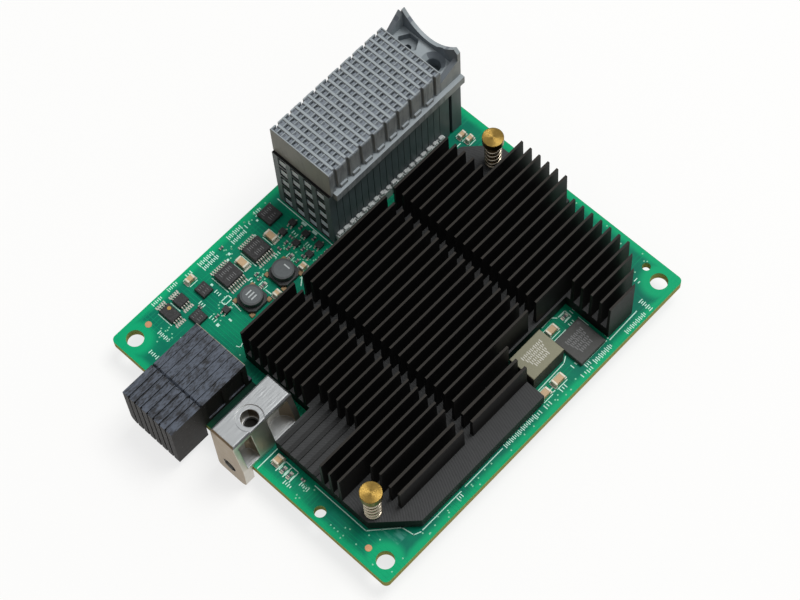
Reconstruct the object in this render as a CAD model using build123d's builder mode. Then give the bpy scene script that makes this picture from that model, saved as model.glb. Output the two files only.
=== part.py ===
from build123d import *
import math
import os

# Expansion card for a blade server: a board with a finned heat sink, a tall stacked
# connector, a right-angle connector on the front edge and a cast guide block.
# Lengths are in millimetres. x runs to the right along the front edge, y to the rear, z up.
# The origin is midway between the two front mounting holes, on the board's underside.

# Circuit board
board_thickness = 2.2
board_corner_radius = 1.2
hole_inset = 3.65
mount_hole_radius = 1.95
front_tool_hole_radius = 1.3
front_tool_hole_inset = 2.2
front_tool_hole_from_right = 20.5
rear_tool_hole_radius = 0.95
rear_tool_hole_inset = 2.8
rear_tool_hole_from_right = 7.9
board_right_margin = 2.82
board_rear_margin = 3.5
edge_clearance = 0.3

# Tall connector: a cap with contact cavities on a row of wafers, and a guide bay behind it
tall_left = 2.6
tall_width = 16.9
row_count = 18
row_pitch = 1.85
column_groups = 4
column_pitch = 1.36
wafer_gap = 0.15
wafer_side_inset = 0.15
wafer_height = 20.2
wafer_lead = 0.6
cap_height = 8.3
signal_cavity = 0.95
cavity_depth = 0.6
cap_groove_width = 0.9
cap_groove_depth = 0.6
cap_tab_height = 1.1
cap_tab_reach = 0.45
ledge_reach = 1.1
ledge_drop = 1.4
ledge_rise = 0.9
bay_length = 6.1
bay_rear_inset = 3.3
bay_platform_height = 24.4
bay_wall = 0.9
horn_height = 30.4
saddle_height = 25.9
horn_width = 2.0
guide_hole_spacing = 7.3
hex_recess_radius = 2.55
hex_recess_depth = 1.8
round_hole_radius = 1.8
round_hole_rim = 1.0
gusset_width = 1.2
low_gusset_height = 2.6
hex_hole_radius = 0.9
post_slot_width = 0.9
post_slot_depth = 2.4
slot_columns = 4
slot_rows = 5
slot_column_pitch = 3.7
slot_width = 2.3
slot_height = 3.2
slot_margin = 0.25
slot_depth = 1.2
slot_bar_height = 1.9
slot_bar_depth = 0.95
foot_strip_width = 0.9
foot_strip_height = 3.2
foot_strip_gap = 0.35
foot_strip_notch = 0.5

# Heat sink: one extrusion with tapered fins, milled to shape
sink_gap = 4.0
fin_count = 22
fin_pitch = 2.48
fin_tip = 0.5
fin_root = 0.95
fin_height = 9.3
sink_front = 6.0
sink_standoff = 0.8
sink_web = 1.4
block_side_clearance = 0.9
front_step_clearance = 2.0
front_right_chamfer = 7.7
rear_right_chamfer = 7.0
rear_left_chamfer = 6.0
rear_step = 3.05
cross_slot_width = 2.5
cross_slot_front = 25.5
cross_slot_spacing = 27.5
low_fin_height = 6.7
low_stub_height = 0.35
low_front_length = 12.5
front_pocket_length = 6.8
rear_pocket_length = 9.9
notch_from_rear = 17.6
notch_depth = 11.7
notch_corner_radius = 2.0
last_stub_fin = 12
last_tall_fin = 17
last_low_fin = 19
first_pocket_fin = 15
rear_pocket_fins = 5
rear_step_fin = 10

# Controller chip and thermal pad under the heat sink
chip_side = 23.0
chip_base_height = 1.1
chip_lid_side = 19.0
chip_height = 2.4
pad_side = 17.0
pad_thickness = 0.4
recess_margin = 1.5
chip_from_sink_left = 26.0
chip_from_sink_front = 40.0

# Spring pins that hold the heat sink down
pin_head_radius = 2.35
pin_head_height = 1.8
pin_shank_radius = 1.1
pin_hole_clearance = 0.25
pin_barb_radius = 1.75
pin_tip_radius = 0.9
barb_sides = 6
spring_height = 8.8
spring_wire_radius = 0.3
spring_coil_radius = 1.6
spring_turns = 4
spring_facets = 8
front_pin_from_right = 8.5
front_pin_from_front = 2.5
rear_pin_from_left = 7.9
rear_pin_from_rear = 4.0

# Right-angle connector on the front edge
edge_left = 14.7
edge_column_count = 8
edge_column_pitch = 1.79
edge_overhang = 8.6
edge_height = 9.5
edge_drop = 4.6
edge_rear = 12.6
edge_foot_length = 0.8
edge_foot_height = 1.3
edge_wafer_gap = 0.12
edge_groove_width = 0.4
edge_groove_depth = 0.45
edge_corner_radius = 2.2
edge_pocket_depth = 0.35
edge_pocket_rim = 1.1
edge_top_step = 0.2
edge_top_chamfer = 0.6

# Cast guide block
block_gap = 5.28
block_top_width = 6.6
block_base_width = 8.3
block_height = 11.0
block_rear = 14.0
block_overhang = 2.65
block_drop = 6.9
block_lip_left_radius = 1.2
block_lip_right_radius = 2.2
block_top_chamfer = 0.4
block_rim_height = 1.2
block_floor = 1.3
block_roof = 1.5
block_back_wall = 4.4
block_web_front = 2.3
block_web_width = 4.4
block_end_wall = 1.3
block_scoop = 0.48
block_hole_radius = 1.95
block_hole_depth = 3.6
block_hole_from_left = 4.2
block_hole_from_front = 4.5
spot_face_radius = 3.0
spot_face_depth = 0.15
front_hole_radius = 1.8
front_hole_depth = 1.8
front_hole_from_left = 3.7
front_hole_below_top = 2.1
screw_radius = 1.4
screw_clearance = 0.05
screw_board_clearance = 0.2
screw_head_radius = 2.5
screw_head_height = 1.5
screw_length = 9.5

# Parts in the heat sink's side notch
inductor_width = 6.8
inductor_length = 9.3
inductor_height = 5.6
terminal_width = 2.6
terminal_depth = 0.5
terminal_height = 0.8
notch_side_clearance = 1.3
notch_end_clearance = 0.8
memory_width = 7.6
memory_length = 7.6
memory_height = 1.2
memory_from_notch = 4.2
memory_gap = 1.5

# Small parts on the left of the board, set out back from the tall connector's front
left_parts_depth = 48.1
round_inductor_width = 5.6
round_inductor_height = 2.6
round_inductor_base = 1.1
drum_radius = 2.5
round_inductor_places = ((16.3, 12.55), (15.7, 21.45))
power_chip_width = 4.2
power_chip_length = 4.8
power_chip_height = 1.5
power_chip_x = 8.1
power_chip_backs = (12.5, 20.9)
lead_reach = 1.0
lead_width = 0.4
lead_pitch = 1.1
lead_thickness = 0.2
lead_shoulder = 0.55
lead_count = 4
small_chip_height = 0.95
small_lead_width = 0.28
small_lead_pitch = 0.62
small_lead_reach = 0.85
transistor_width = 1.5
transistor_length = 1.4
transistor_height = 0.9
capacitor_height = 1.3
capacitor_cap = 0.5
capacitor_lip = 0.06
resistor_width = 0.6
resistor_length = 1.1
resistor_height = 0.4
part_edge_chamfer = 0.12
# Packages: x, distance back, width and length
lead_chips = ((4.7, 31.9, 2.4, 2.8), (5.2, 35.5, 4.0, 2.8))
flat_chips = ((4.1, 4.5, 4.0, 3.9), (6.5, 26.8, 3.0, 2.8), (10.2, 32.1, 3.0, 2.9))
# Transistors: x and distance back
transistor_places = ((9.2, 2.6), (13.2, 2.6), (17.2, 2.6), (9.2, 5.6), (13.2, 5.6), (17.2, 5.6),
                     (13.4, 26.9))

# Places worked out from the driving sizes, from the board's front left corner
sink_width = (fin_count - 1) * fin_pitch + fin_tip
sink_left = tall_left + tall_width + ledge_reach + sink_gap
sink_right = sink_left + sink_width
board_width = sink_right + board_right_margin
cap_length = row_count * row_pitch
board_length = left_parts_depth + wafer_lead + cap_length + bay_length + bay_rear_inset
sink_rear = board_length - board_rear_margin
sink_length = sink_rear - sink_front
sink_floor = chip_height + pad_thickness + sink_web
fin_top = sink_floor + fin_height
bay_rear = board_length - bay_rear_inset
cap_rear = bay_rear - bay_length
cap_front = cap_rear - cap_length
stack_front = cap_front - wafer_lead
cap_top = wafer_height + cap_height
tall_middle = tall_left + tall_width / 2
slot_row_pitch = (wafer_height - 2 * slot_margin - slot_height) / (slot_rows - 1)
edge_width = edge_column_count * edge_column_pitch
block_left = edge_left + edge_width + block_gap
block_right = block_left + block_base_width
step_x = block_right + block_side_clearance
step_y = max(block_rear, edge_rear + edge_foot_length) + front_step_clearance
notch_left = sink_right - notch_depth
notch_length = inductor_length + memory_gap + memory_length + 2 * notch_end_clearance
notch_rear = sink_rear - notch_from_rear
notch_front = notch_rear - notch_length
front_pin = (sink_right - front_pin_from_right, sink_front + front_pin_from_front)
rear_pin = (sink_left + rear_pin_from_left, sink_rear - rear_pin_from_rear)
block_hole = (block_left + block_hole_from_left, block_hole_from_front)
guide_hole_y = (cap_rear + bay_rear - bay_wall) / 2
chip_centre = (sink_left + chip_from_sink_left, sink_front + chip_from_sink_front)
# Capacitors: x, y, width and length. Resistors: x and y.
capacitor_places = (
    (8.1, stack_front - 8.1, 2.8, 1.5),
    (8.1, stack_front - 16.8, 2.8, 1.6),
    (18.7, stack_front - 17.0, 1.2, 1.6),
    (18.3, stack_front - 8.7, 1.2, 1.6),
    (2.6, stack_front - 27.1, 1.2, 2.1),
    (notch_left + 1.9, notch_rear - 6.6, 1.5, 2.6),
    (notch_left + 10.4, notch_front + 5.9, 1.5, 2.9),
    (notch_left + 10.4, notch_front + 1.6, 1.5, 2.6),
    (step_x + 2.1, sink_front - 1.7, 1.5, 2.1),
    (sink_left - 3.1, sink_rear - 2.0, 1.0, 1.8),
    (sink_left - 1.2, sink_rear - 1.6, 1.0, 1.8),
)
resistor_places = (
    (14.9, stack_front - 17.4),
    (14.4, stack_front - 8.7),
    (step_x + 4.2, sink_front - 2.4),
    (step_x + 6.0, sink_front - 2.4),
    (notch_left + 1.6, notch_rear - 2.2),
)

os.makedirs("parts", exist_ok=True)


def top(x, y, z=0.0):
    """Level plane: x from the board's left edge, y from its front edge, z from its top face."""
    return Plane(origin=(x - board_width / 2, y - hole_inset, board_thickness + z))


def front(x, y, z=0.0):
    """Upright plane facing the front, with its local y up; a negative extrude goes to the rear."""
    return Plane(origin=top(x, y, z).origin, x_dir=(1, 0, 0), z_dir=(0, -1, 0))


def side(x, y, z=0.0):
    """Upright plane facing right, with its local x to the rear and its local y up."""
    return Plane(origin=top(x, y, z).origin, x_dir=(0, 1, 0), z_dir=(1, 0, 0))


def valley(fin):
    """Middle of the valley after a fin, counted from the left."""
    return sink_left + fin_tip / 2 + (fin + 0.5) * fin_pitch


def save(part, name):
    part.label = name
    export_step(part, f"parts/{name}.step")


def box_sketch(x0, x1, y0, y1):
    """Rectangle between two corners, measured from the sketch plane's origin."""
    with Locations(((x0 + x1) / 2, (y0 + y1) / 2)):
        Rectangle(x1 - x0, y1 - y0)


# Circuit board
board_holes = (
    (hole_inset, hole_inset, mount_hole_radius),
    (board_width - hole_inset, hole_inset, mount_hole_radius),
    (board_width - hole_inset, board_length - hole_inset, mount_hole_radius),
    (board_width - front_tool_hole_from_right, front_tool_hole_inset, front_tool_hole_radius),
    (board_width - rear_tool_hole_from_right, board_length - rear_tool_hole_inset,
     rear_tool_hole_radius),
    (*front_pin, pin_shank_radius + pin_hole_clearance),
    (*rear_pin, pin_shank_radius + pin_hole_clearance),
    (*block_hole, screw_radius + screw_board_clearance),
)
with BuildPart() as circuit_board:
    with BuildSketch(top(0, 0, -board_thickness)):
        with Locations((board_width / 2, board_length / 2)):
            RectangleRounded(board_width, board_length, board_corner_radius)
        for hole_x, hole_y, hole_radius in board_holes:
            with Locations((hole_x, hole_y)):
                Circle(hole_radius, mode=Mode.SUBTRACT)
    extrude(amount=board_thickness)
save(circuit_board.part, "circuit_board")

# Heat sink
sink_outline = (
    (sink_left, step_y),
    (step_x, step_y),
    (step_x, sink_front),
    (sink_right - front_right_chamfer, sink_front),
    (sink_right, sink_front + front_right_chamfer),
    (sink_right, notch_front),
    (notch_left, notch_front),
    (notch_left, notch_rear),
    (sink_right, notch_rear),
    (sink_right, sink_rear - rear_step - rear_right_chamfer),
    (sink_right - rear_right_chamfer, sink_rear - rear_step),
    (valley(rear_step_fin), sink_rear - rear_step),
    (valley(rear_step_fin), sink_rear),
    (sink_left + rear_left_chamfer, sink_rear),
    (sink_left, sink_rear - rear_left_chamfer),
)
# Each milled area: left, right, front and rear limits, and the height that is left standing
milled_areas = (
    (step_x, valley(last_stub_fin), sink_front, sink_front + low_front_length,
     sink_floor + low_stub_height),
    (valley(first_pocket_fin), sink_right, sink_front, sink_front + front_pocket_length, sink_floor),
    (valley(last_low_fin), sink_right, sink_front, notch_front, sink_floor),
    (valley(last_tall_fin), valley(last_low_fin), sink_front, notch_front,
     sink_floor + low_fin_height),
    (sink_left, valley(rear_pocket_fins - 1), sink_rear - rear_pocket_length, sink_rear, sink_floor),
    (sink_left, sink_right, sink_front + cross_slot_front,
     sink_front + cross_slot_front + cross_slot_width, sink_floor),
    (sink_left, sink_right, sink_front + cross_slot_front + cross_slot_spacing,
     sink_front + cross_slot_front + cross_slot_spacing + cross_slot_width, sink_floor),
)
with BuildPart() as heat_sink:
    with BuildSketch(front(sink_left + sink_width / 2, sink_front)):
        box_sketch(-sink_width / 2, sink_width / 2, sink_standoff, sink_floor)
        for fin in range(fin_count):
            fin_x = (fin - (fin_count - 1) / 2) * fin_pitch
            with BuildLine():
                Polyline(
                    (fin_x - fin_root / 2, sink_floor),
                    (fin_x + fin_root / 2, sink_floor),
                    (fin_x + fin_tip / 2, fin_top),
                    (fin_x - fin_tip / 2, fin_top),
                    close=True,
                )
            make_face()
        with Locations((0, fin_top / 2)):
            Rectangle(sink_width, fin_top, mode=Mode.INTERSECT)
    extrude(amount=-sink_length)
    with BuildSketch(top(0, 0)) as footprint:
        with BuildLine():
            Polyline(*sink_outline, close=True)
        make_face()
        fillet(
            footprint.vertices().sort_by_distance(top(notch_left, notch_rear).origin)[0],
            notch_corner_radius,
        )
    extrude(amount=fin_top, mode=Mode.INTERSECT)
    for area_left, area_right, area_front, area_rear, level in milled_areas:
        with BuildSketch(top(0, 0, level)):
            box_sketch(area_left, area_right, area_front, area_rear)
        extrude(amount=fin_top, mode=Mode.SUBTRACT)
    with BuildSketch(top(*chip_centre)):
        Rectangle(chip_side + 2 * recess_margin, chip_side + 2 * recess_margin)
    extrude(amount=chip_height + pad_thickness, mode=Mode.SUBTRACT)
    with BuildSketch(top(0, 0)):
        with Locations(front_pin, rear_pin):
            Circle(pin_shank_radius + pin_hole_clearance)
    extrude(amount=fin_top, mode=Mode.SUBTRACT)
save(heat_sink.part, "heat_sink")

# Controller chip with its lid, and the thermal pad on it
with BuildPart() as controller_chip:
    with BuildSketch(top(*chip_centre)):
        Rectangle(chip_side, chip_side)
    extrude(amount=chip_base_height)
    with BuildSketch(top(*chip_centre, chip_base_height)):
        Rectangle(chip_lid_side, chip_lid_side)
    extrude(amount=chip_height - chip_base_height)
save(controller_chip.part, "controller_chip")

with BuildPart() as thermal_pad:
    with BuildSketch(top(*chip_centre, chip_height)):
        Rectangle(pad_side, pad_side)
    extrude(amount=pad_thickness)
save(thermal_pad.part, "thermal_pad")

# Spring pins: a turned head, a shank through heat sink and board, and a barbed end below
head_base = sink_floor + spring_height
for place, (pin_x, pin_y) in (("front", front_pin), ("rear", rear_pin)):
    with BuildPart() as spring_pin:
        with BuildSketch(side(pin_x, pin_y)):
            with BuildLine():
                Polyline(
                    (0, head_base + pin_head_height),
                    (pin_head_radius, head_base + pin_head_height),
                    (pin_head_radius, head_base),
                    (pin_shank_radius, head_base),
                    (pin_shank_radius, -board_thickness),
                    (0, -board_thickness),
                    close=True,
                )
            make_face()
        revolve(axis=Axis(top(pin_x, pin_y).origin, (0, 0, 1)))
        with BuildSketch(top(pin_x, pin_y, -board_thickness)):
            RegularPolygon(pin_barb_radius, barb_sides)
        with BuildSketch(top(pin_x, pin_y, -block_drop)):
            RegularPolygon(pin_tip_radius, barb_sides)
        loft()
    save(spring_pin.part, f"spring_pin_{place}")

    coil_steps = spring_turns * spring_facets
    coil_rise = spring_height - 2 * spring_wire_radius
    with BuildPart() as pin_spring:
        with BuildLine(top(pin_x, pin_y, sink_floor + spring_wire_radius)) as coil:
            Polyline([
                (
                    spring_coil_radius * math.cos(2 * math.pi * step / spring_facets),
                    spring_coil_radius * math.sin(2 * math.pi * step / spring_facets),
                    coil_rise * step / coil_steps,
                )
                for step in range(coil_steps + 1)
            ])
        with BuildSketch(Plane(origin=coil.line @ 0, z_dir=coil.line % 0)):
            RegularPolygon(spring_wire_radius, 6, rotation=30)
        sweep(transition=Transition.RIGHT)
    save(pin_spring.part, f"pin_spring_{place}")

# Tall connector's cap: contact cavities, side grooves, ledge and the guide bay behind
with BuildPart() as cap:
    with BuildSketch(top(0, 0, wafer_height)):
        box_sketch(tall_left, tall_left + tall_width, cap_front, bay_rear)
    extrude(amount=bay_platform_height - wafer_height)
    with BuildSketch(top(0, 0, wafer_height)):
        box_sketch(tall_left, tall_left + tall_width, cap_front, cap_rear)
    extrude(amount=cap_height)
    with BuildSketch(side(tall_left + tall_width - wafer_side_inset, 0, wafer_height)):
        box_sketch(cap_front + wafer_lead, bay_rear, -ledge_drop, ledge_rise)
    extrude(amount=ledge_reach + wafer_side_inset)
    with BuildSketch(front(tall_left, bay_rear)):
        with BuildLine():
            Line((0, wafer_height), (0, saddle_height))
            Line((0, saddle_height), (horn_width / 2, horn_height))
            Spline(
                (horn_width / 2, horn_height),
                (tall_width * 0.45, saddle_height),
                (tall_width - horn_width / 2, horn_height),
            )
            Line((tall_width - horn_width / 2, horn_height), (tall_width, horn_height - horn_width / 2))
            Line((tall_width, horn_height - horn_width / 2), (tall_width, wafer_height))
            Line((tall_width, wafer_height), (0, wafer_height))
        make_face()
    extrude(amount=bay_wall)
    # Rows of openings: each holds a pair of signal contacts and steps aside from row to row,
    # which leaves room for the ground contact beside it
    with BuildSketch(top(tall_middle, (cap_front + cap_rear) / 2, cap_top)):
        for row in range(row_count):
            pair_shift = 0.5 if row % 2 else -0.5
            for group in range(column_groups):
                group_x = (group - (column_groups - 1) / 2) * 3 * column_pitch
                row_y = (row - (row_count - 1) / 2) * row_pitch
                with Locations((group_x + pair_shift * column_pitch, row_y)):
                    Rectangle(column_pitch + signal_cavity, signal_cavity)
    extrude(amount=-cavity_depth, mode=Mode.SUBTRACT)
    with BuildSketch(top(tall_middle, (cap_front + cap_rear) / 2, cap_top)):
        with GridLocations(tall_width, row_pitch * 2, 2, row_count // 2):
            Rectangle(2 * cap_groove_depth, cap_groove_width)
    extrude(amount=ledge_rise - cap_height, mode=Mode.SUBTRACT)
    # Tabs on the ledge between the grooves
    with BuildSketch(top(tall_left + tall_width, (cap_front + cap_rear) / 2, wafer_height + ledge_rise)):
        with GridLocations(1, row_pitch * 2, 1, row_count // 2 - 1):
            Rectangle(2 * cap_tab_reach, 2 * row_pitch - 2 * cap_groove_width)
    extrude(amount=cap_tab_height)
    # Gussets from the bay's rear wall: a high one on the left and a low one on the right
    for gusset_x, gusset_top in (
        (tall_left, horn_height - bay_wall),
        (tall_left + tall_width - gusset_width, bay_platform_height + low_gusset_height),
    ):
        with BuildSketch(side(gusset_x, 0)):
            with BuildLine():
                Polyline(
                    (cap_rear, bay_platform_height),
                    (bay_rear - bay_wall, bay_platform_height),
                    (bay_rear - bay_wall, gusset_top),
                    close=True,
                )
            make_face()
        extrude(amount=gusset_width)
    with BuildSketch(top(tall_middle - guide_hole_spacing / 2, guide_hole_y, bay_platform_height)):
        RegularPolygon(hex_recess_radius, 6)
    extrude(amount=-hex_recess_depth, mode=Mode.SUBTRACT)
    with BuildSketch(top(tall_middle - guide_hole_spacing / 2, guide_hole_y, bay_platform_height)):
        RegularPolygon(hex_hole_radius, 6)
    extrude(amount=wafer_height - bay_platform_height, mode=Mode.SUBTRACT)
    with Locations(top(tall_middle + guide_hole_spacing / 2, guide_hole_y, bay_platform_height)):
        CounterSinkHole(
            round_hole_radius, round_hole_radius + round_hole_rim, bay_platform_height - wafer_height,
        )
save(cap.part, "tall_connector_cap")

# Tall connector's wafers: plates stacked from front to rear, standing on the board.
# The front one has columns of slots, each with a bar across it.
wafer_left = tall_left + wafer_side_inset
wafer_right = tall_left + tall_width - wafer_side_inset
wafer_thickness = row_pitch - wafer_gap
for row in range(row_count):
    wafer_front = stack_front + row * row_pitch
    with BuildPart() as wafer:
        with BuildSketch(front(0, wafer_front)):
            box_sketch(wafer_left, wafer_right, 0, wafer_height)
        extrude(amount=-wafer_thickness)
        if row == 0:
            slot_field = front(tall_middle, wafer_front, wafer_height / 2)
            with BuildSketch(slot_field):
                with GridLocations(slot_column_pitch, slot_row_pitch, slot_columns, slot_rows):
                    Rectangle(slot_width, slot_height)
            extrude(amount=-slot_depth, mode=Mode.SUBTRACT)
            with BuildSketch(slot_field.offset(-slot_depth)):
                with GridLocations(slot_column_pitch, slot_row_pitch, slot_columns, slot_rows):
                    with Locations((0, (slot_bar_height - slot_height) / 2)):
                        Rectangle(slot_width, slot_bar_height)
            extrude(amount=slot_bar_depth)
    save(wafer.part, f"tall_connector_wafer_{row + 1:02d}")

# Post under the guide bay, behind the last wafer, with an upright slot in its right side
post_front = stack_front + row_count * row_pitch
with BuildPart() as end_post:
    with BuildSketch(top(0, 0)):
        box_sketch(wafer_left, wafer_right, post_front, bay_rear)
        with Locations((wafer_right, (post_front + bay_rear) / 2)):
            Rectangle(2 * post_slot_depth, post_slot_width, mode=Mode.SUBTRACT)
    extrude(amount=wafer_height)
save(end_post.part, "tall_connector_end_post")

# Comb along the right foot of the wafers
with BuildPart() as foot_strip:
    with BuildSketch(top(0, 0)):
        box_sketch(wafer_right, wafer_right + foot_strip_width, cap_front, cap_rear)
    extrude(amount=foot_strip_height)
    with BuildSketch(top(wafer_right + foot_strip_width, (cap_front + cap_rear) / 2, foot_strip_height)):
        with GridLocations(1, 2 * row_pitch, 1, row_count // 2):
            Rectangle(2 * foot_strip_notch, foot_strip_gap)
    extrude(amount=-foot_strip_height, mode=Mode.SUBTRACT)
save(foot_strip.part, "tall_connector_foot_strip")

# Right-angle connector: a ribbed shroud in front of the board's edge
edge_middle = edge_left + edge_width / 2
with BuildPart() as shroud:
    with BuildSketch(front(edge_middle, -edge_overhang)) as shroud_face:
        box_sketch(-edge_width / 2, edge_width / 2, -edge_drop, edge_height)
        fillet(shroud_face.vertices().group_by(Axis.Y)[0].sort_by(Axis.X)[0], edge_corner_radius)
    extrude(amount=edge_clearance - edge_overhang)
    with BuildSketch(front(edge_middle, -edge_overhang, edge_height)):
        with GridLocations(edge_column_pitch, 1, edge_column_count - 1, 1):
            Rectangle(edge_groove_width, 2 * edge_groove_depth)
    extrude(amount=-edge_overhang, mode=Mode.SUBTRACT)
    with BuildSketch(top(edge_middle, -edge_overhang, edge_height)):
        with GridLocations(edge_column_pitch, 1, edge_column_count - 1, 1):
            Rectangle(edge_groove_width, 2 * edge_groove_depth)
    extrude(amount=-edge_height - edge_drop, mode=Mode.SUBTRACT)
save(shroud.part, "edge_connector_shroud")

# Right-angle connector: upright wafers behind the shroud; the outer one has two shallow pockets
pocket_length = (edge_rear - 3 * edge_pocket_rim) / 2
pocket_height = edge_height - edge_top_step - 2 * edge_pocket_rim
wafer_width = edge_column_pitch - edge_wafer_gap
for column in range(edge_column_count):
    wafer_x = edge_left + column * edge_column_pitch
    wafer_top = edge_height - edge_top_step
    with BuildPart() as edge_wafer:
        with BuildSketch(side(wafer_x, 0)):
            with BuildLine():
                Polyline(
                    (-edge_clearance, 0),
                    (edge_rear + edge_foot_length, 0),
                    (edge_rear + edge_foot_length, edge_foot_height),
                    (edge_rear, edge_foot_height),
                    (edge_rear, wafer_top),
                    (edge_top_chamfer - edge_clearance, wafer_top),
                    (-edge_clearance, wafer_top - edge_top_chamfer),
                    close=True,
                )
            make_face()
        extrude(amount=wafer_width)
        if column == edge_column_count - 1:
            with BuildSketch(side(wafer_x + wafer_width, edge_rear / 2, wafer_top / 2)):
                with GridLocations(pocket_length + edge_pocket_rim, 1, 2, 1):
                    Rectangle(pocket_length, pocket_height)
            extrude(amount=-edge_pocket_depth, mode=Mode.SUBTRACT)
    save(edge_wafer.part, f"edge_connector_wafer_{column + 1}")

# Guide block: a casting with two pockets in its right side and a lip over the board's edge
with BuildPart() as guide_block:
    with BuildSketch(front(block_left, block_rear)):
        with BuildLine():
            Polyline(
                (0, 0),
                (block_base_width, 0),
                (block_base_width, block_rim_height),
                (block_top_width, block_height - block_roof),
                (block_top_width, block_height),
                (0, block_height),
                close=True,
            )
        make_face()
    extrude(amount=block_rear + block_overhang)
    with BuildSketch(front(block_left, -edge_clearance)) as lip_face:
        with BuildLine():
            Polyline(
                (0, block_rim_height),
                (0, -block_drop),
                (block_base_width, -block_drop),
                (block_base_width, block_rim_height),
                close=True,
            )
        make_face()
        fillet(lip_face.vertices().group_by(Axis.Y)[0].sort_by(Axis.X)[0], block_lip_left_radius)
        fillet(lip_face.vertices().group_by(Axis.Y)[0].sort_by(Axis.X)[-1], block_lip_right_radius)
    extrude(amount=block_overhang - edge_clearance)
    # Two scoops with round backs, left and right of a web that carries the screw
    for scoop_front, scoop_rear in (
        (block_end_wall - block_overhang, block_web_front),
        (block_web_front + block_web_width, block_rear - block_end_wall),
    ):
        with BuildSketch(top(block_left, 0, block_floor)) as scoop:
            box_sketch(block_back_wall, 2 * block_base_width, scoop_front, scoop_rear)
            fillet(scoop.vertices().group_by(Axis.X)[0], (scoop_rear - scoop_front) * block_scoop)
        extrude(amount=block_height - block_roof - block_floor, mode=Mode.SUBTRACT)
    chamfer(guide_block.faces().sort_by(Axis.Z)[-1].edges(), block_top_chamfer)
    with BuildSketch(top(*block_hole, block_height)):
        Circle(spot_face_radius)
    extrude(amount=-spot_face_depth, mode=Mode.SUBTRACT)
    with BuildSketch(top(*block_hole, block_height)):
        Circle(block_hole_radius)
    extrude(amount=-block_hole_depth, mode=Mode.SUBTRACT)
    with BuildSketch(top(*block_hole)):
        Circle(screw_radius + screw_clearance)
    extrude(amount=block_height - spot_face_depth, mode=Mode.SUBTRACT)
    with BuildSketch(front(block_left + front_hole_from_left, -block_overhang, -front_hole_below_top)):
        Circle(front_hole_radius)
    extrude(amount=-front_hole_depth, mode=Mode.SUBTRACT)
save(guide_block.part, "guide_block")

with BuildPart() as block_screw:
    with BuildSketch(top(*block_hole, -board_thickness)):
        RegularPolygon(screw_head_radius, 6)
    extrude(amount=-screw_head_height)
    with BuildSketch(top(*block_hole, -board_thickness)):
        Circle(screw_radius)
    extrude(amount=screw_length)
save(block_screw.part, "guide_block_screw")


def chip_body(width, length, height):
    """Moulded package on the current plane, with its top edges bevelled."""
    Box(width, length, height, align=(Align.CENTER, Align.CENTER, Align.MIN))


def lead_row(x, y, width, height, count, pitch, lead, reach):
    """Bent leads on the left and right sides of a package centred at x, y."""
    shoulder = height * lead_shoulder
    for index in range(count):
        lead_y = y + (index - (count - 1) / 2) * pitch + lead / 2
        with BuildSketch(front(x, lead_y)) as lead_face:
            with BuildLine():
                Polyline(
                    (width / 2, shoulder),
                    (width / 2 + reach, lead_thickness / 2),
                    (width / 2 + reach, 0),
                    (width / 2 + reach / 2, 0),
                    (width / 2, shoulder - lead_thickness),
                    close=True,
                )
            make_face()
            mirror(about=Plane.YZ)
        extrude(lead_face.sketch, amount=lead)


# Power chips and the round inductors beside them
for place, chip_back, (inductor_x, inductor_back) in zip(
    ("rear", "front"), power_chip_backs, round_inductor_places
):
    with BuildPart() as power_chip:
        with Locations(top(power_chip_x, stack_front - chip_back)):
            chip_body(power_chip_width, power_chip_length, power_chip_height)
        chamfer(power_chip.edges().group_by(Axis.Z)[-1], part_edge_chamfer)
        lead_row(power_chip_x, stack_front - chip_back, power_chip_width, power_chip_height,
                 lead_count, lead_pitch, lead_width, lead_reach)
    save(power_chip.part, f"power_chip_{place}")

    inductor_y = stack_front - inductor_back
    with BuildPart() as round_inductor:
        with BuildSketch(top(inductor_x, inductor_y)) as inductor_base:
            Rectangle(round_inductor_width, round_inductor_width)
            chamfer(inductor_base.vertices(), round_inductor_width / 5)
        extrude(amount=round_inductor_base)
        with BuildSketch(top(inductor_x, inductor_y)):
            Circle(drum_radius)
        extrude(amount=round_inductor_height)
    save(round_inductor.part, f"round_inductor_{place}")

# Small chips with leads, and flat chips: x, distance back, width and length
for index, (chip_x, chip_back, width, length) in enumerate(lead_chips):
    with BuildPart() as lead_chip:
        with Locations(top(chip_x, stack_front - chip_back)):
            chip_body(width, length, small_chip_height)
        chamfer(lead_chip.edges().group_by(Axis.Z)[-1], part_edge_chamfer)
        lead_row(chip_x, stack_front - chip_back, width, small_chip_height, lead_count,
                 small_lead_pitch, small_lead_width, small_lead_reach)
    save(lead_chip.part, f"lead_chip_{index + 1}")

for index, (chip_x, chip_back, width, length) in enumerate(flat_chips):
    with BuildPart() as flat_chip:
        with Locations(top(chip_x, stack_front - chip_back)):
            chip_body(width, length, small_chip_height)
        chamfer(flat_chip.edges().group_by(Axis.Z)[-1], part_edge_chamfer)
    save(flat_chip.part, f"flat_chip_{index + 1}")

with BuildPart() as transistors:
    for part_x, part_back in transistor_places:
        with Locations(top(part_x, stack_front - part_back)):
            chip_body(transistor_width, transistor_length, transistor_height)
save(transistors.part, "transistors")

# Memory chip and block inductor in the heat sink's side notch
memory_y = notch_rear - notch_end_clearance - memory_length / 2
inductor_y = notch_front + notch_end_clearance + inductor_length / 2
inductor_x = notch_left + notch_side_clearance + inductor_width / 2
with BuildPart() as memory_chip:
    with Locations(top(notch_left + memory_from_notch + memory_width / 2, memory_y)):
        chip_body(memory_width, memory_length, memory_height)
    chamfer(memory_chip.edges().group_by(Axis.Z)[-1], part_edge_chamfer)
save(memory_chip.part, "memory_chip")

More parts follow.
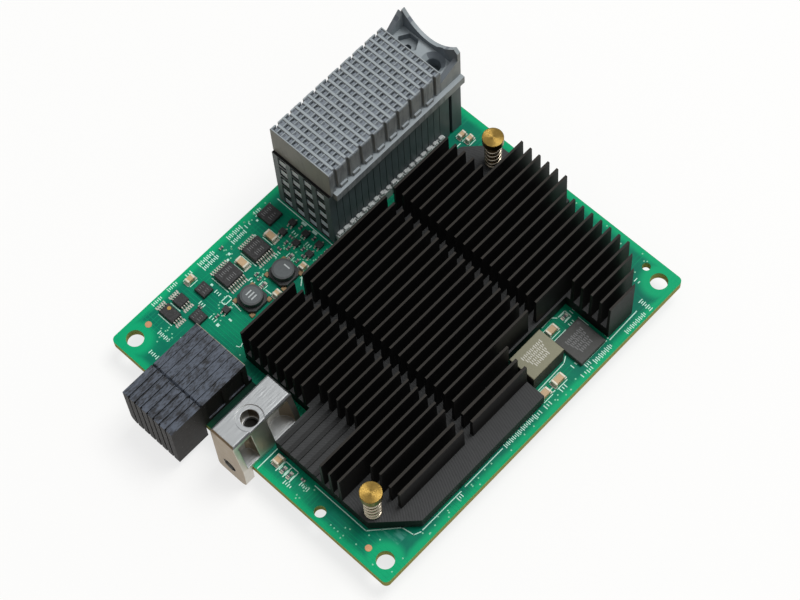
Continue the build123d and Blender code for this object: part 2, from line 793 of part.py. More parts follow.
with BuildPart() as block_inductor:
    with Locations(top(inductor_x, inductor_y)):
        chip_body(inductor_width, inductor_length, inductor_height)
    chamfer(block_inductor.edges().group_by(Axis.Z)[-1], part_edge_chamfer)
    with BuildSketch(top(inductor_x, inductor_y)):
        with GridLocations(1, inductor_length, 1, 2):
            Rectangle(terminal_width, 2 * terminal_depth)
    extrude(amount=terminal_height, mode=Mode.SUBTRACT)
save(block_inductor.part, "block_inductor")

with BuildPart() as terminals:
    with BuildSketch(top(inductor_x, inductor_y)):
        with GridLocations(1, inductor_length - terminal_depth, 1, 2):
            Rectangle(terminal_width, terminal_depth)
    extrude(amount=terminal_height)
save(terminals.part, "block_inductor_terminals")

# Chip capacitors and resistors: bodies with metal ends a little larger than the body
with BuildPart() as capacitors:
    for part_x, part_y, width, length in capacitor_places:
        with Locations(top(part_x, part_y)):
            chip_body(width, length, capacitor_height)
            if width > length:
                ends = GridLocations(width - capacitor_cap, 1, 2, 1)
                end_size = (capacitor_cap, length + 2 * capacitor_lip)
            else:
                ends = GridLocations(1, length - capacitor_cap, 1, 2)
                end_size = (width + 2 * capacitor_lip, capacitor_cap)
            with ends:
                chip_body(*end_size, capacitor_height + capacitor_lip)
save(capacitors.part, "capacitors")

with BuildPart() as resistors:
    for part_x, part_y in resistor_places:
        with Locations(top(part_x, part_y)):
            chip_body(resistor_width, resistor_length, resistor_height)
save(resistors.part, "resistors")
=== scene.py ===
"""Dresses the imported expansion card: finishes, printed marks, small metal parts, stage and camera."""

import math

import bpy
import numpy as np
from bpy.props import FloatProperty, FloatVectorProperty, PointerProperty
from mathutils import Matrix, Vector


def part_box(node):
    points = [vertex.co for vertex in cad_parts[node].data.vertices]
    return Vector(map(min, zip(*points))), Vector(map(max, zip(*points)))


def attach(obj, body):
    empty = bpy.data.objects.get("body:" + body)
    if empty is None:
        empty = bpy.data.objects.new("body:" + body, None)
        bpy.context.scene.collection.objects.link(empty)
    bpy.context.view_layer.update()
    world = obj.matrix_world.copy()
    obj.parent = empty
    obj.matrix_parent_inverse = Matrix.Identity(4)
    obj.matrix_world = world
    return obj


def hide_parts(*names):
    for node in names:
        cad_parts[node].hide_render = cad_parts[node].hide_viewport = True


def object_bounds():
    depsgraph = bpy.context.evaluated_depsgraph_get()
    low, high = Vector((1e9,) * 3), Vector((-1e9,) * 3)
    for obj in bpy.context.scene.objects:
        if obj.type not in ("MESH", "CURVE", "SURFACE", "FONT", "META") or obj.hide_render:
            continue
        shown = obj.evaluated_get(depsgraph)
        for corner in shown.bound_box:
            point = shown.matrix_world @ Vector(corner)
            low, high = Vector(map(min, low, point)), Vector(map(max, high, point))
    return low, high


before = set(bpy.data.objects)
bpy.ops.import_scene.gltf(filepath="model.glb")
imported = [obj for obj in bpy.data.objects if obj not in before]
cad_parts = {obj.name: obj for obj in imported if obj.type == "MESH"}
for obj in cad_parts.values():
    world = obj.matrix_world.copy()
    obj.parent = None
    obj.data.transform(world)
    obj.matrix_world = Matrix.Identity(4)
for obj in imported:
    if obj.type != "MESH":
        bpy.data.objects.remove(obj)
cad_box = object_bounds()

bl_info = {
    "name": "Expansion Card Dresser",
    "version": (1, 0, 0),
    "blender": (4, 5, 0),
    "location": "View3D > Sidebar > Card",
    "description": "Gives the packed expansion card its finishes, printed marks and stage",
    "category": "Object",
}

MM = 0.001
TURN = 2 * math.pi
SENSOR_WIDTH, NEAREST_SEEN = 36.0, 0.01


def node_box(name):
    """Lowest and highest corner of a CAD node, in millimetres."""
    return np.array(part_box(name)) / MM


# Places on the card are measured in millimetres from the board's front left corner and its top face
BOARD_LOW, BOARD_HIGH = node_box("circuit_board")
BOARD_SIZE = BOARD_HIGH - BOARD_LOW
CORNER = np.array((BOARD_LOW[0], BOARD_LOW[1], BOARD_HIGH[2]))


def card_box(name):
    """Lowest and highest corner of a CAD node, measured from the card's corner."""
    return node_box(name) - CORNER


def middle_of(name):
    """Middle of a CAD node on the card, x and y."""
    return card_box(name).mean(axis=0)[:2]


def numbered(prefix):
    """CAD nodes whose names start with a prefix."""
    return sorted(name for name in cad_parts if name.startswith(prefix))


def chip_body(name, lead_reach):
    """Middle x and y, width, length and height of a chip without the leads on its two sides."""
    low, high = card_box(name)
    size = high - low
    return (*middle_of(name), size[0] - 2 * lead_reach, size[1], high[2])


# Board
HOLE_INSET = 3.65
HOLE_RIGHT, HOLE_REAR = BOARD_SIZE[:2] - HOLE_INSET
CORNER_HOLES = ((HOLE_INSET, HOLE_INSET), (HOLE_RIGHT, HOLE_INSET), (HOLE_RIGHT, HOLE_REAR))
FRONT_TOOL_HOLE = (59.5, 2.2)
COPPER_TARGETS = ((3.4, 7.8), (72.1, 3.2))
TRACK_PITCH = 0.9
EDGE_FADE, HOLE_FADE, GREEN_RIM = (1.2, 2.8), (3.0, 5.2), (0.9, 2.1)
# A hazy patch near the front right hole, and painted shade over the gap beside the guide block
HAZE_MIDDLE, HAZE_HALF = (72.6, 8.6), (3.4, 2.2)
SHADED_GAP_MIDDLE, SHADED_GAP_HALF = (31.6, 6.5), (3.1, 6.8)
# Pads, plated holes, copper targets and solder tails
PAD_HEIGHT, PAD_BEVEL, PAD_LENGTH, PAD_MARGIN = 0.08, 0.02, 0.75, 0.24
LEAD_PAD_SIZE, LEAD_PAD_PITCH, LEAD_PAD_OUT = (0.7, 0.36), 0.6, 1.15
VIA_HEIGHT, VIA_TAPER, VIA_CLEARANCE = 0.03, 0.8, 2.4
TARGET_HEIGHT, TARGET_TAPER = 0.035, 0.97
TAIL_RADII, TAIL_HEIGHTS = (0.16, 0.2, 0.3, 0.52), (-1.3, -1.25, -0.35, 0)

# Heat sink: heights over which its level faces are tops of milled stubs, and worn edges of fins, lighter
# with a painted sheen
STUB_LEVEL, FIN_LEVEL = 4.4, 5.8
SWEEP_MIDDLE, SWEEP_PITCH = (62.0, -4.0), 0.55
TURNING_PITCH = 0.16
SPRING_TURNS = 7

# Tall connector
ROW_COUNT, ROW_PITCH = 18, 1.85
COLUMN_COUNT, COLUMN_PITCH = 12, 1.36
OPENING_COLUMNS = 3
CAP_LOW, CAP_HIGH = card_box("tall_connector_cap")
CAP_TOP = 28.5
CAP_MIDDLE = np.array((middle_of("tall_connector_wafer_01")[0], CAP_LOW[1] + ROW_COUNT * ROW_PITCH / 2))
CAP_RIM = 1.2
CELL_SIZE, CELL_DEPTH, CELL_MARGIN = 0.95, 0.6, 0.1
# Where a contact enters its cell, as shares of the cell's column and row; a painted shadow marks it
ENTRY_MIDDLE, ENTRY_HALF = (0.27, 0.5), (0.11, 0.15)
PARTITION_RISE = 0.1
CONTACT_SIZE, CONTACT_SHIFT, CONTACT_DROP = (0.66, 0.9), 0.13, 0.04
TOOTH_LENGTHS, TOOTH_HEIGHTS, TOOTH_INSET, TOOTH_BEVEL = (0.8, 1.35), (0.5, 0.9), 0.05, 0.12
BAR_WIDTH, DIVIDER_WIDTH, CELL_BEVEL = 0.64, 0.3, 0.08
GROOVE_DEPTH = 0.6
SLOT_PITCH, SLOT_WIDTH = 3.7, 2.3
SLOT_MIDDLE, SLOT_HALF = 10.1, 9.8
BAR_FRONT, SLOT_FRONT, SLOT_REAR, SLOT_TOP_REAR = 0.1, 0.6, 1.5, 1.3

# Edge connector and guide block
EDGE_MIDDLE = middle_of("edge_connector_shroud")[0]
EDGE_COLUMNS, EDGE_PITCH = 8, 1.79
EDGE_ROWS, EDGE_ROW_PITCH, EDGE_FIRST_ROW = 6, 1.75, 1.9
EDGE_STRIP_LENGTH, EDGE_STRIP_HEIGHT = 0.95, 9.0
SEAM_AHEAD, SEAM_HALF = 0.3, 0.5
GUIDE_BORE, GUIDE_BORE_RADIUS, GUIDE_BORE_MOUTH = middle_of("guide_block_screw"), 1.72, 10.9
THREAD_PITCH = 0.5

# Parts that are drawn afresh: middle x, middle y, width and length
CAPACITORS = np.array((
    (8.1, 40.0, 2.8, 1.5), (8.1, 31.3, 2.8, 1.6), (18.7, 31.1, 1.2, 1.6), (18.3, 39.4, 1.2, 1.6),
    (2.6, 21.0, 1.2, 2.1), (67.38, 63.7, 1.5, 2.6), (75.88, 56.2, 1.5, 2.9), (75.88, 51.9, 1.5, 2.6),
    (45.6, 4.3, 1.5, 2.1), (21.5, 85.9, 1.0, 1.8), (23.4, 86.3, 1.0, 1.8),
))
CAPACITOR_HEIGHT, CAPACITOR_END = 1.3, 0.5
RESISTORS = np.array((
    (14.9, 30.7, 0.6, 1.1), (14.4, 39.4, 0.6, 1.1), (47.7, 3.6, 0.6, 1.1), (49.5, 3.6, 0.6, 1.1),
    (67.08, 68.1, 0.6, 1.1),
))
RESISTOR_HEIGHT, RESISTOR_END = 0.4, 0.25
# These stand on pads, between printed brackets
MARKED_PARTS = np.concatenate((CAPACITORS, RESISTORS))
END_LIP, END_BEVEL = 0.06, 0.09
BODY_BASE, BODY_BEVEL, BODY_INSET, BODY_DROP = 0.03, 0.06, 0.02, 0.05
SMALL_PARTS = np.array((
    (11.4, 41.2, 0.5, 1.0), (12.7, 40.5, 0.5, 1.0), (11.4, 39.2, 1.0, 0.5), (16.3, 39.6, 0.5, 1.0),
    (16.5, 41.3, 1.0, 0.5), (11.2, 45.9, 0.5, 1.0), (11.3, 42.9, 1.0, 0.5), (15.2, 45.9, 0.5, 1.0),
    (15.2, 42.5, 0.5, 1.0), (19.3, 45.5, 0.5, 1.0), (19.3, 43.7, 0.5, 1.0), (12.1, 31.5, 0.5, 1.0),
    (13.3, 31.2, 0.5, 1.0), (8.7, 18.0, 1.0, 0.5), (12.9, 18.9, 0.5, 1.0), (52.3, 4.7, 1.0, 0.5),
    (2.0, 30.9, 0.5, 1.0), (11.6, 13.6, 1.0, 0.5),
))

# Chips with leads on two sides: middle x, middle y, width, length and height
POWER_LEAD_REACH, SMALL_LEAD_REACH = 1.0, 0.85
LEAD_CHIPS = np.array((
    chip_body("power_chip_rear", POWER_LEAD_REACH), chip_body("power_chip_front", POWER_LEAD_REACH),
    chip_body("lead_chip_1", SMALL_LEAD_REACH), chip_body("lead_chip_2", SMALL_LEAD_REACH),
))
POWER_CHIP_COUNT = 2
POWER_LEADS, POWER_LEAD_LENGTH = 8, 1.35
SMALL_LEADS, SMALL_LEAD_PITCH, SMALL_LEAD_LENGTH = 4, 0.62, 1.0
LEAD_THICKNESS, LEAD_SHOULDER = 0.14, 0.55
CHIP_BASE, CHIP_BEVEL = 0.12, 0.14
MARK_HEIGHT, MARK_ROW_SPACING = 0.03, 1.6
# Shares of a chip's width and length that its marks take up
MARK_EXTENT, MARK_STROKE, MARK_LENGTHS = 0.42, 0.035, (0.6, 0.4)
DOT_PLACE, DOT_RADII = (4.3, 13.2), (0.45, 0.43)
DIMPLE_SHIFT = np.array((-2.9, 2.9))
TRANSISTORS = np.array((
    (9.2, 45.5), (13.2, 45.5), (17.2, 45.5), (9.2, 42.5), (13.2, 42.5), (17.2, 42.5), (13.4, 21.2),
))
TRANSISTOR_LENGTH, TRANSISTOR_SHOULDER = 1.4, 0.45
TRANSISTOR_LEAD_SHIFT, TRANSISTOR_LEAD_LENGTH, TRANSISTOR_LEAD_WIDTH = 0.45, 0.6, 0.32

# Round inductors
INDUCTORS = np.array([middle_of(name) for name in numbered("round_inductor")])
INDUCTOR_SIZE = np.ptp(card_box("round_inductor_front"), axis=0)
DRUM_RADIUS, DISH_INNER, DISH_OUTER = 2.5, 1.95, 2.15
TERMINAL_SIZE, TERMINAL_INSET, TERMINAL_BEVEL = (1.1, 1.1, 0.35), 0.28, 0.1
DRUM_MARK_WIDTH = 0.3
DRUM_MARKS = np.array((
    (14.9, 26.0, 14.9, 27.3), (15.7, 25.9, 15.7, 27.4), (16.5, 26.0, 16.5, 27.3), (15.9, 36.5, 17.2, 36.5),
))

# Printed lines: from x, y to x, y
PRINT_LINES = np.array((
    (43.5, 0.3, 43.5, 6.1), (54.9, 5.5, 69.2, 5.5), (69.2, 5.5, 74.1, 10.9), (74.1, 10.9, 76.9, 11.4),
    (76.9, 11.4, 77.5, 12.8), (77.5, 13.4, 77.6, 24.6), (77.5, 26.0, 77.5, 37.2),
    (46.6, 2.5, 46.6, 5.3), (48.6, 2.5, 48.6, 5.3), (50.4, 2.5, 50.4, 5.3), (46.6, 5.3, 50.4, 5.3),
    (74.3, 51.2, 74.1, 60.0), (74.1, 60.0, 73.3, 61.4), (72.4, 62.25, 76.9, 62.25),
    (77.2, 62.5, 77.2, 69.8), (65.3, 63.0, 65.2, 66.0), (65.2, 66.0, 66.1, 66.8),
    (77.6, 70.5, 77.4, 79.2), (6.0, 32.95, 10.5, 32.95), (5.7, 24.55, 10.5, 24.55),
    (3.4, 14.5, 6.1, 14.5), (3.3, 10.9, 7.2, 10.9), (2.5, 47.65, 19.0, 47.55),
    (19.6, 37.7, 20.9, 36.1), (13.0, 23.5, 15.6, 23.2), (16.1, 30.3, 18.7, 30.4),
    (11.0, 21.9, 12.2, 21.9), (12.2, 21.9, 12.2, 24.0), (12.2, 24.0, 11.0, 24.0), (11.0, 24.0, 11.0, 21.9),
    (21.1, 18.6, 21.6, 17.2), (21.6, 17.2, 20.8, 16.8), (33.0, 15.3, 36.0, 14.7), (2.0, 41.4, 2.0, 45.8),
    (21.0, 40.0, 21.0, 47.0), (22.5, 82.5, 22.5, 84.3),
    (66.2, 67.2, 66.2, 69.2), (66.2, 69.2, 68.0, 69.2), (68.0, 67.2, 68.0, 69.2), (68.4, 62.3, 69.4, 62.3),
    (69.3, 62.3, 69.3, 66.0), (69.3, 70.0, 72.0, 70.0),
))
# Printed tabs: middle x, middle y, width and length
PRINT_TABS = np.array((
    (11.0, 47.1, 1.3, 0.6), (14.2, 47.1, 1.3, 0.6), (4.2, 31.1, 0.6, 0.6), (5.2, 37.9, 0.6, 0.6),
    (5.0, 29.9, 0.5, 0.5), (6.7, 23.4, 0.6, 0.5), (14.4, 17.6, 0.7, 0.7), (15.5, 20.2, 0.8, 0.4),
    (2.9, 40.9, 0.5, 0.5),
))
# Rows of short bars where small print stands: middle x, y, extent along x, extent along y
PRINT_ROWS = np.array((
    (7.8, 8.1, 2.8, 0.8), (9.3, 3.7, 2.1, 0.8), (50.5, 1.9, 1.7, 0.8), (53.4, 3.9, 2.0, 0.9),
    (67.4, 70.6, 0.8, 1.4), (69.2, 68.0, 0.8, 1.2), (78.6, 67.1, 1.1, 5.0), (79.0, 77.0, 0.9, 5.8),
    (77.9, 81.6, 2.9, 1.0), (77.6, 42.4, 0.9, 8.8), (72.9, 84.7, 0.9, 0.8), (75.9, 61.1, 0.8, 1.0),
    (77.9, 63.2, 0.8, 1.1), (79.0, 62.6, 0.7, 1.1), (78.8, 60.9, 0.7, 1.0), (77.7, 55.7, 0.9, 1.4),
    (77.9, 50.7, 0.9, 1.4), (77.8, 47.9, 0.9, 1.3), (76.4, 53.9, 0.8, 0.7), (78.3, 23.6, 0.8, 1.1),
    (1.35, 35.5, 1.0, 3.8), (2.8, 35.4, 0.9, 3.7), (1.35, 27.0, 1.0, 4.2), (2.7, 27.0, 0.9, 4.1),
    (0.75, 17.4, 0.7, 2.4), (0.8, 12.8, 0.7, 2.4), (1.3, 42.6, 0.8, 1.6), (2.2, 38.7, 0.8, 1.0),
    (11.9, 37.9, 0.8, 1.2), (12.4, 29.7, 1.3, 0.7), (1.2, 21.9, 0.7, 1.3), (9.0, 22.9, 1.2, 0.7),
    (12.6, 17.9, 1.4, 0.7), (8.4, 18.8, 1.2, 0.7), (19.7, 42.4, 0.7, 1.2), (15.3, 44.1, 1.2, 0.6),
    (11.2, 44.1, 1.2, 0.6),
))
PRINT_BAR_SPACING = 0.42
PRINT_BAR_LENGTHS = np.array((1.0, 0.55, 0.85, 0.4))
BRACKET_GAP, BRACKET_THINNING = 0.42, 0.8
DOTTED_LINE = np.array(((69.7, 71.9), (77.0, 70.5)))
DOT_COUNT, PRINT_DOT_RADIUS = 10, 0.2
# Free parts of the board with small plated holes: left, front, right, rear and how many
VIA_ZONES = np.array((
    (69.0, 1.0, 79.2, 9.5, 16), (53.0, 0.8, 68.0, 4.8, 20), (77.8, 12.0, 79.5, 60.0, 26),
    (10.6, 18.0, 14.4, 24.5, 12), (10.8, 37.0, 19.8, 44.5, 40), (2.6, 30.4, 5.2, 33.0, 8),
    (20.6, 15.0, 24.2, 44.0, 26), (20.6, 44.0, 24.2, 82.0, 20), (62.0, 85.3, 72.0, 90.6, 12),
    (0.8, 38.5, 2.0, 46.5, 8), (3.2, 5.6, 13.8, 10.6, 22), (10.9, 29.0, 14.6, 34.0, 16),
    (25.0, 88.5, 60.0, 90.6, 18), (11.5, 10.5, 14.0, 15.0, 8),
))

# Second tones, which the finishes wander, wear or darken to; some of them are painted shade, shadow, sheen
# or reflection
FIBRE_DARK, FIBRE_GREEN = (0.60, 0.60, 0.34), (0.52, 0.82, 0.54)
# BOARD_SHADE is painted shade for the gap beside the guide block
BOARD_HAZE, BOARD_SHADE = (0.45, 0.74, 0.70), (0.02, 0.06, 0.05)
INK_THIN = (0.66, 0.88, 0.80)
HOLE_GREEN, HOLE_PALE = (0.34, 0.76, 0.60), (0.62, 0.84, 0.72)
COPPER_DULL = (0.74, 0.53, 0.39)
TIN_DULL = (0.64, 0.63, 0.58)
MILLED_DARK, STUB_DARK = (0.19, 0.195, 0.20), (0.11, 0.115, 0.115)
# FIN_EDGE_DARK is the darker tone of the fin tops' wear and painted sheen
ANODISED_PALE, FIN_EDGE_DARK = (0.062, 0.06, 0.057), (0.12, 0.11, 0.10)
PAD_DARK = (0.5, 0.52, 0.55)
BRASS_DARK, WIRE_DARK = (0.46, 0.365, 0.17), (0.72, 0.67, 0.60)
COMB_DARK = (0.66, 0.68, 0.68)
# The cap's right-face, cell-entry, bay and front tones are painted shade, shadow, shade and warm reflection
CAP_DARK, CAP_STAIN, CAP_RIGHT_SHADE = (0.56, 0.595, 0.615), (0.34, 0.36, 0.37), (0.29, 0.31, 0.34)
CAP_ENTRY_SHADOW, CAP_BAY_SHADE, CAP_FRONT_REFLECTION = (0.14, 0.155, 0.18), (0.26, 0.28, 0.32), (0.42, 0.38, 0.31)
# BAR_DARK is the darker tone of the bars' painted highlight; the slots' tone is painted shade
WAFER_DARK, BAR_DARK, SLOT_SHADE = (0.28, 0.315, 0.33), (0.70, 0.75, 0.80), (0.03, 0.035, 0.04)
# The shroud's brown tone on this line is a painted warm reflection
SCUFF_DARK, SEAM_DARK, SHROUD_REFLECTION_BROWN = (0.13, 0.135, 0.15), (0.05, 0.05, 0.06), (0.14, 0.12, 0.10)
SHROUD_SPECK, SHROUD_STRIP = (0.55, 0.56, 0.57), (0.62, 0.60, 0.52)
# The nickel's top and front tones are painted shade and a painted warm reflection
NICKEL_DULL, NICKEL_TOP_SHADE, NICKEL_FRONT_REFLECTION = (0.76, 0.74, 0.70), (0.58, 0.60, 0.62), (0.57, 0.49, 0.37)
BORE_SHADE = (0.06, 0.06, 0.055)
SCREW_DULL, SCREW_SHADE = (0.6, 0.6, 0.6), (0.12, 0.12, 0.115)
EPOXY_PALE = (0.24, 0.24, 0.245)
MEMORY_DARK, MEMORY_PALE, DIMPLE_PALE = (0.235, 0.24, 0.235), (0.295, 0.30, 0.295), (0.42, 0.41, 0.42)
OCHRE, OCHRE_DARK = (0.78, 0.62, 0.30), (0.66, 0.50, 0.22)
CHIP_INK, CHIP_INK_DARK = (0.50, 0.505, 0.51), (0.36, 0.365, 0.37)
BLOCK_INK, BLOCK_INK_DARK = (0.86, 0.86, 0.82), (0.66, 0.65, 0.60)
CERAMIC_DARK, FILM_DARK = (0.72, 0.60, 0.45), (0.22, 0.23, 0.25)
CREAM, CREAM_DARK = (0.92, 0.90, 0.84), (0.78, 0.75, 0.67)
DRUM_DARK, DRUM_PALE, FERRITE_PALE = (0.17, 0.175, 0.18), (0.22, 0.225, 0.23), (0.38, 0.40, 0.41)
CHALK, CHALK_DARK = (0.80, 0.82, 0.82), (0.62, 0.65, 0.66)
TERMINAL_DARK = (0.48, 0.39, 0.28)
# The block inductor's side tone is painted shade
TAUPE_DARK, TAUPE_SIDE_SHADE = (0.50, 0.495, 0.415), (0.20, 0.195, 0.175)
WHITE, KEY_TONE = (1.0, 1.0, 1.0), (1.0, 0.99, 0.97)
WALL_GREY, WALL_DARK, WALL_WARM = (0.66, 0.68, 0.70), (0.20, 0.20, 0.21), (0.56, 0.44, 0.29)


def colour(name, description, default):
    """Property for a finish colour, written as it looks on screen."""
    return FloatVectorProperty(
        name=name, description=description, default=default, size=3, min=0, max=1,
        subtype="COLOR_GAMMA",
    )


def length(name, description, millimetres):
    """Property for a small size, given in millimetres and kept in metres."""
    return FloatProperty(
        name=name, description=description, default=millimetres * MM, min=0.005 * MM, max=20 * MM,
        precision=6, unit="LENGTH",
    )


def point(name, description, default):
    """Property for a point in the frame."""
    return FloatVectorProperty(
        name=name, description=description, default=default, size=3,
        subtype="TRANSLATION", unit="LENGTH",
    )


def angle(name, description, degrees):
    """Property for an angle, given in degrees."""
    return FloatProperty(
        name=name, description=description, default=math.radians(degrees), subtype="ANGLE",
    )


def linear(rgb):
    """Screen colour to the linear colour that shaders use, with full alpha."""
    rgb = np.array(rgb[:3])
    low = rgb / 12.92
    high = ((rgb + 0.055) / 1.055) ** 2.4
    return (*np.where(rgb <= 0.04045, low, high).tolist(), 1.0)


class BoardSettings(bpy.types.PropertyGroup):
    """Colours of the circuit board and what is printed or plated on it."""

    mask: colour("Solder mask", "Green lacquer over copper", (0.0, 0.44, 0.355))
    mask_bare: colour("Bare mask", "Lacquer where there is no copper", (0.02, 0.675, 0.455))
    edge: colour("Board edge", "Cut edge of the laminate", (0.76, 0.77, 0.48))
    print_white: colour("Print", "White printed marks", (0.88, 0.99, 0.95))
    copper: colour("Copper", "Bare copper targets", (0.82, 0.61, 0.46))
    print_width: length("Print width", "Width of a printed line", 0.21)
    print_height: length("Print height", "Thickness of the print", 0.03)
    via_radius: length("Via radius", "Radius of a small plated hole's pad", 0.2)
    target_radius: length("Target radius", "Radius of a copper target", 0.75)


class SinkSettings(bpy.types.PropertyGroup):
    """Colours of the heat sink and its pins, and the springs' wire."""

    anodised: colour("Anodised", "Black anodised fins", (0.045, 0.045, 0.05))
    milled: colour("Milled", "Milled floors between the fins", (0.27, 0.275, 0.28))
    # Lighter fin tops: wear, and a painted sheen
    edge: colour("Fin edge", "Worn top edges of the fins", (0.17, 0.155, 0.135))
    brass: colour("Brass", "Turned heads of the spring pins", (0.58, 0.48, 0.26))
    # The steel tone is warm: a painted reflection of the brass, on the springs and the screw
    steel: colour("Steel", "Spring wire and screw", (0.87, 0.83, 0.75))
    coil_radius: length("Coil radius", "From the spring's axis to the middle of its wire", 1.6)
    wire_radius: length("Wire radius", "Radius of the spring wire", 0.3)


class ConnectorSettings(bpy.types.PropertyGroup):
    """Colours of the two connectors and the guide block, and sizes in the cap's cells."""

    cap: colour("Cap", "Grey moulded cap", (0.62, 0.655, 0.675))
    # Painted shade: the cell floors take this darker grey in their recesses
    cell: colour("Cell", "Floors of the contact cells", (0.455, 0.485, 0.52))
    wafer: colour("Wafer", "Grey wafers under the cap", (0.40, 0.45, 0.47))
    # The bars' pale tone is a painted highlight
    bar: colour("Bar", "Bars across the front wafer", (0.86, 0.91, 0.96))
    strip: colour("Strip", "Comb at the foot of the wafers", (0.86, 0.88, 0.88))
    shroud: colour("Shroud", "Black moulded connector", (0.10, 0.105, 0.115))
    worn: colour("Worn", "Scuffed top of the black connector", (0.33, 0.36, 0.41))
    nickel: colour("Nickel", "Plated guide block", (0.90, 0.88, 0.84))
    partition: length("Partition", "Wall between two paired cells", 0.3)
    lattice: length("Lattice", "Height of the bars round the cells", 0.25)


class PartSettings(bpy.types.PropertyGroup):
    """Colours of the parts soldered to the board, and the power chips' leads."""

    epoxy: colour("Epoxy", "Moulded chip bodies", (0.15, 0.15, 0.155))
    tin: colour("Tin", "Tinned leads and pads", (0.80, 0.80, 0.77))
    ceramic: colour("Ceramic", "Capacitor bodies", (0.80, 0.69, 0.54))
    resistor: colour("Resistor", "Resistor bodies", (0.36, 0.38, 0.40))
    ferrite: colour("Ferrite", "Round inductor tops", (0.31, 0.33, 0.34))
    taupe: colour("Block", "Block inductor", (0.565, 0.56, 0.475))
    terminal: colour("Terminal", "Corner terminals of the round inductors", (0.64, 0.53, 0.39))
    pad: colour("Thermal pad", "Pad under the heat sink", (0.62, 0.64, 0.66))
    lead_width: length("Lead width", "Width of a chip's lead", 0.3)
    lead_pitch: length("Lead pitch", "Spacing of a power chip's leads", 0.6)


class StageSettings(bpy.types.PropertyGroup):
    """Camera, lamps and floor."""

    camera_place: point("Camera", "Camera position", (0.15158, -0.09485, 0.42289))
    azimuth: angle("Azimuth", "Turn of the view about the vertical", 47.714)
    elevation: angle("Elevation", "Height of the view above the horizon", 63.856)
    roll: angle("Roll", "Turn of the view about its own line", -4.911)
    lens: FloatProperty(
        name="Lens", description="Focal length on a 36 mm sensor", default=99.79, unit="CAMERA",
    )
    floor: colour("Floor", "Pale floor", (0.97, 0.97, 0.96))
    bounce: colour("Bounce", "Warm tone that the floor throws back on the card", (0.78, 0.70, 0.56))
    floor_reach: FloatProperty(
        name="Floor reach", description="From the middle of the floor to its edge", default=4.0,
        unit="LENGTH",
    )
    floor_glow: FloatProperty(
        name="Floor glow", description="Share of plain white in the floor where it is seen",
        default=0.75, min=0, max=1, subtype="FACTOR",
    )
    key_place: point("Key place", "Position of the key lamp", (0.22, 0.75, 1.8))
    key_size: FloatProperty(
        name="Key size", description="Side of the square key lamp", default=0.9, unit="LENGTH",
    )
    key_strength: FloatProperty(
        name="Key", description="Radiant power of the key lamp", default=25.0, unit="POWER",
    )
    fill_strength: FloatProperty(
        name="Fill", description="Strength of the light from all round", default=0.5,
    )


class Field:
    """A number that changes over a surface. Arithmetic on it adds Math nodes."""

    def __init__(self, nodes, socket):
        self.nodes = nodes
        self.socket = socket

    def math(self, operation, *values):
        """One Math node on the values."""
        return self.nodes.node("ShaderNodeMath", {"operation": operation}, dict(enumerate(values)))

    def __add__(self, other):
        return self.math("ADD", self, other)

    def __radd__(self, other):
        return self.math("ADD", other, self)

    def __sub__(self, other):
        return self.math("SUBTRACT", self, other)

    def __rsub__(self, other):
        return self.math("SUBTRACT", other, self)

    def __mul__(self, other):
        return self.math("MULTIPLY", self, other)

    def __rmul__(self, other):
        return self.math("MULTIPLY", other, self)

    def __truediv__(self, other):
        return self.math("DIVIDE", self, other)

    def __rtruediv__(self, other):
        return self.math("DIVIDE", other, self)

    def __mod__(self, other):
        return self.math("FLOORED_MODULO", self, other)

    def __rmod__(self, other):
        return self.math("FLOORED_MODULO", other, self)

    def __abs__(self):
        return self.math("ABSOLUTE", self)

    def __gt__(self, other):
        return self.math("GREATER_THAN", self, other)

    def __lt__(self, other):
        return self.math("LESS_THAN", self, other)

    def largest(self, other):
        return self.math("MAXIMUM", self, other)

    def smallest(self, other):
        return self.math("MINIMUM", self, other)

    def root(self):
        return self.math("SQRT", self)

    def wave(self, pitch):
        """Sine of the value, one turn for each pitch."""
        return self.math("SINE", self * (TURN / pitch))

    def rise(self, low, high):
        """Smooth step from 0 at low to 1 at high."""
        return self.nodes.node(
            "ShaderNodeMapRange", {"interpolation_type": "SMOOTHSTEP", "clamp": True},
            {"Value": self, "From Min": low, "From Max": high, "To Min": 0.0, "To Max": 1.0},
        )


class Nodes:
    """A node tree that is being filled in."""

    def __init__(self, tree):
        self.tree = tree

    def node(self, kind, settings=None, sockets=None, output=0):
        """Adds one node: its settings first, then each socket's value or link."""
        node = self.tree.nodes.new(kind)
        for key, value in (settings or {}).items():
            setattr(node, key, value)
        for key, value in (sockets or {}).items():
            if isinstance(value, Field):
                self.tree.links.new(value.socket, node.inputs[key])
            else:
                node.inputs[key].default_value = value
        return Field(self, node.outputs[output])

    def split(self, vector):
        """The three parts of a vector."""
        first = self.node("ShaderNodeSeparateXYZ", None, {0: vector})
        return [Field(self, socket) for socket in first.socket.node.outputs]

    def mix(self, share, first, second):
        """Colour that goes from first to second as share goes from 0 to 1.

        Sockets 6 and 7 of a Mix node are its two colours, and output 2 is the mixed one.
        """
        ends = [end if isinstance(end, Field) else linear(end) for end in (first, second)]
        return self.node(
            "ShaderNodeMix", {"data_type": "RGBA", "clamp_factor": True},
            {0: share, 6: ends[0], 7: ends[1]}, output=2,
        )


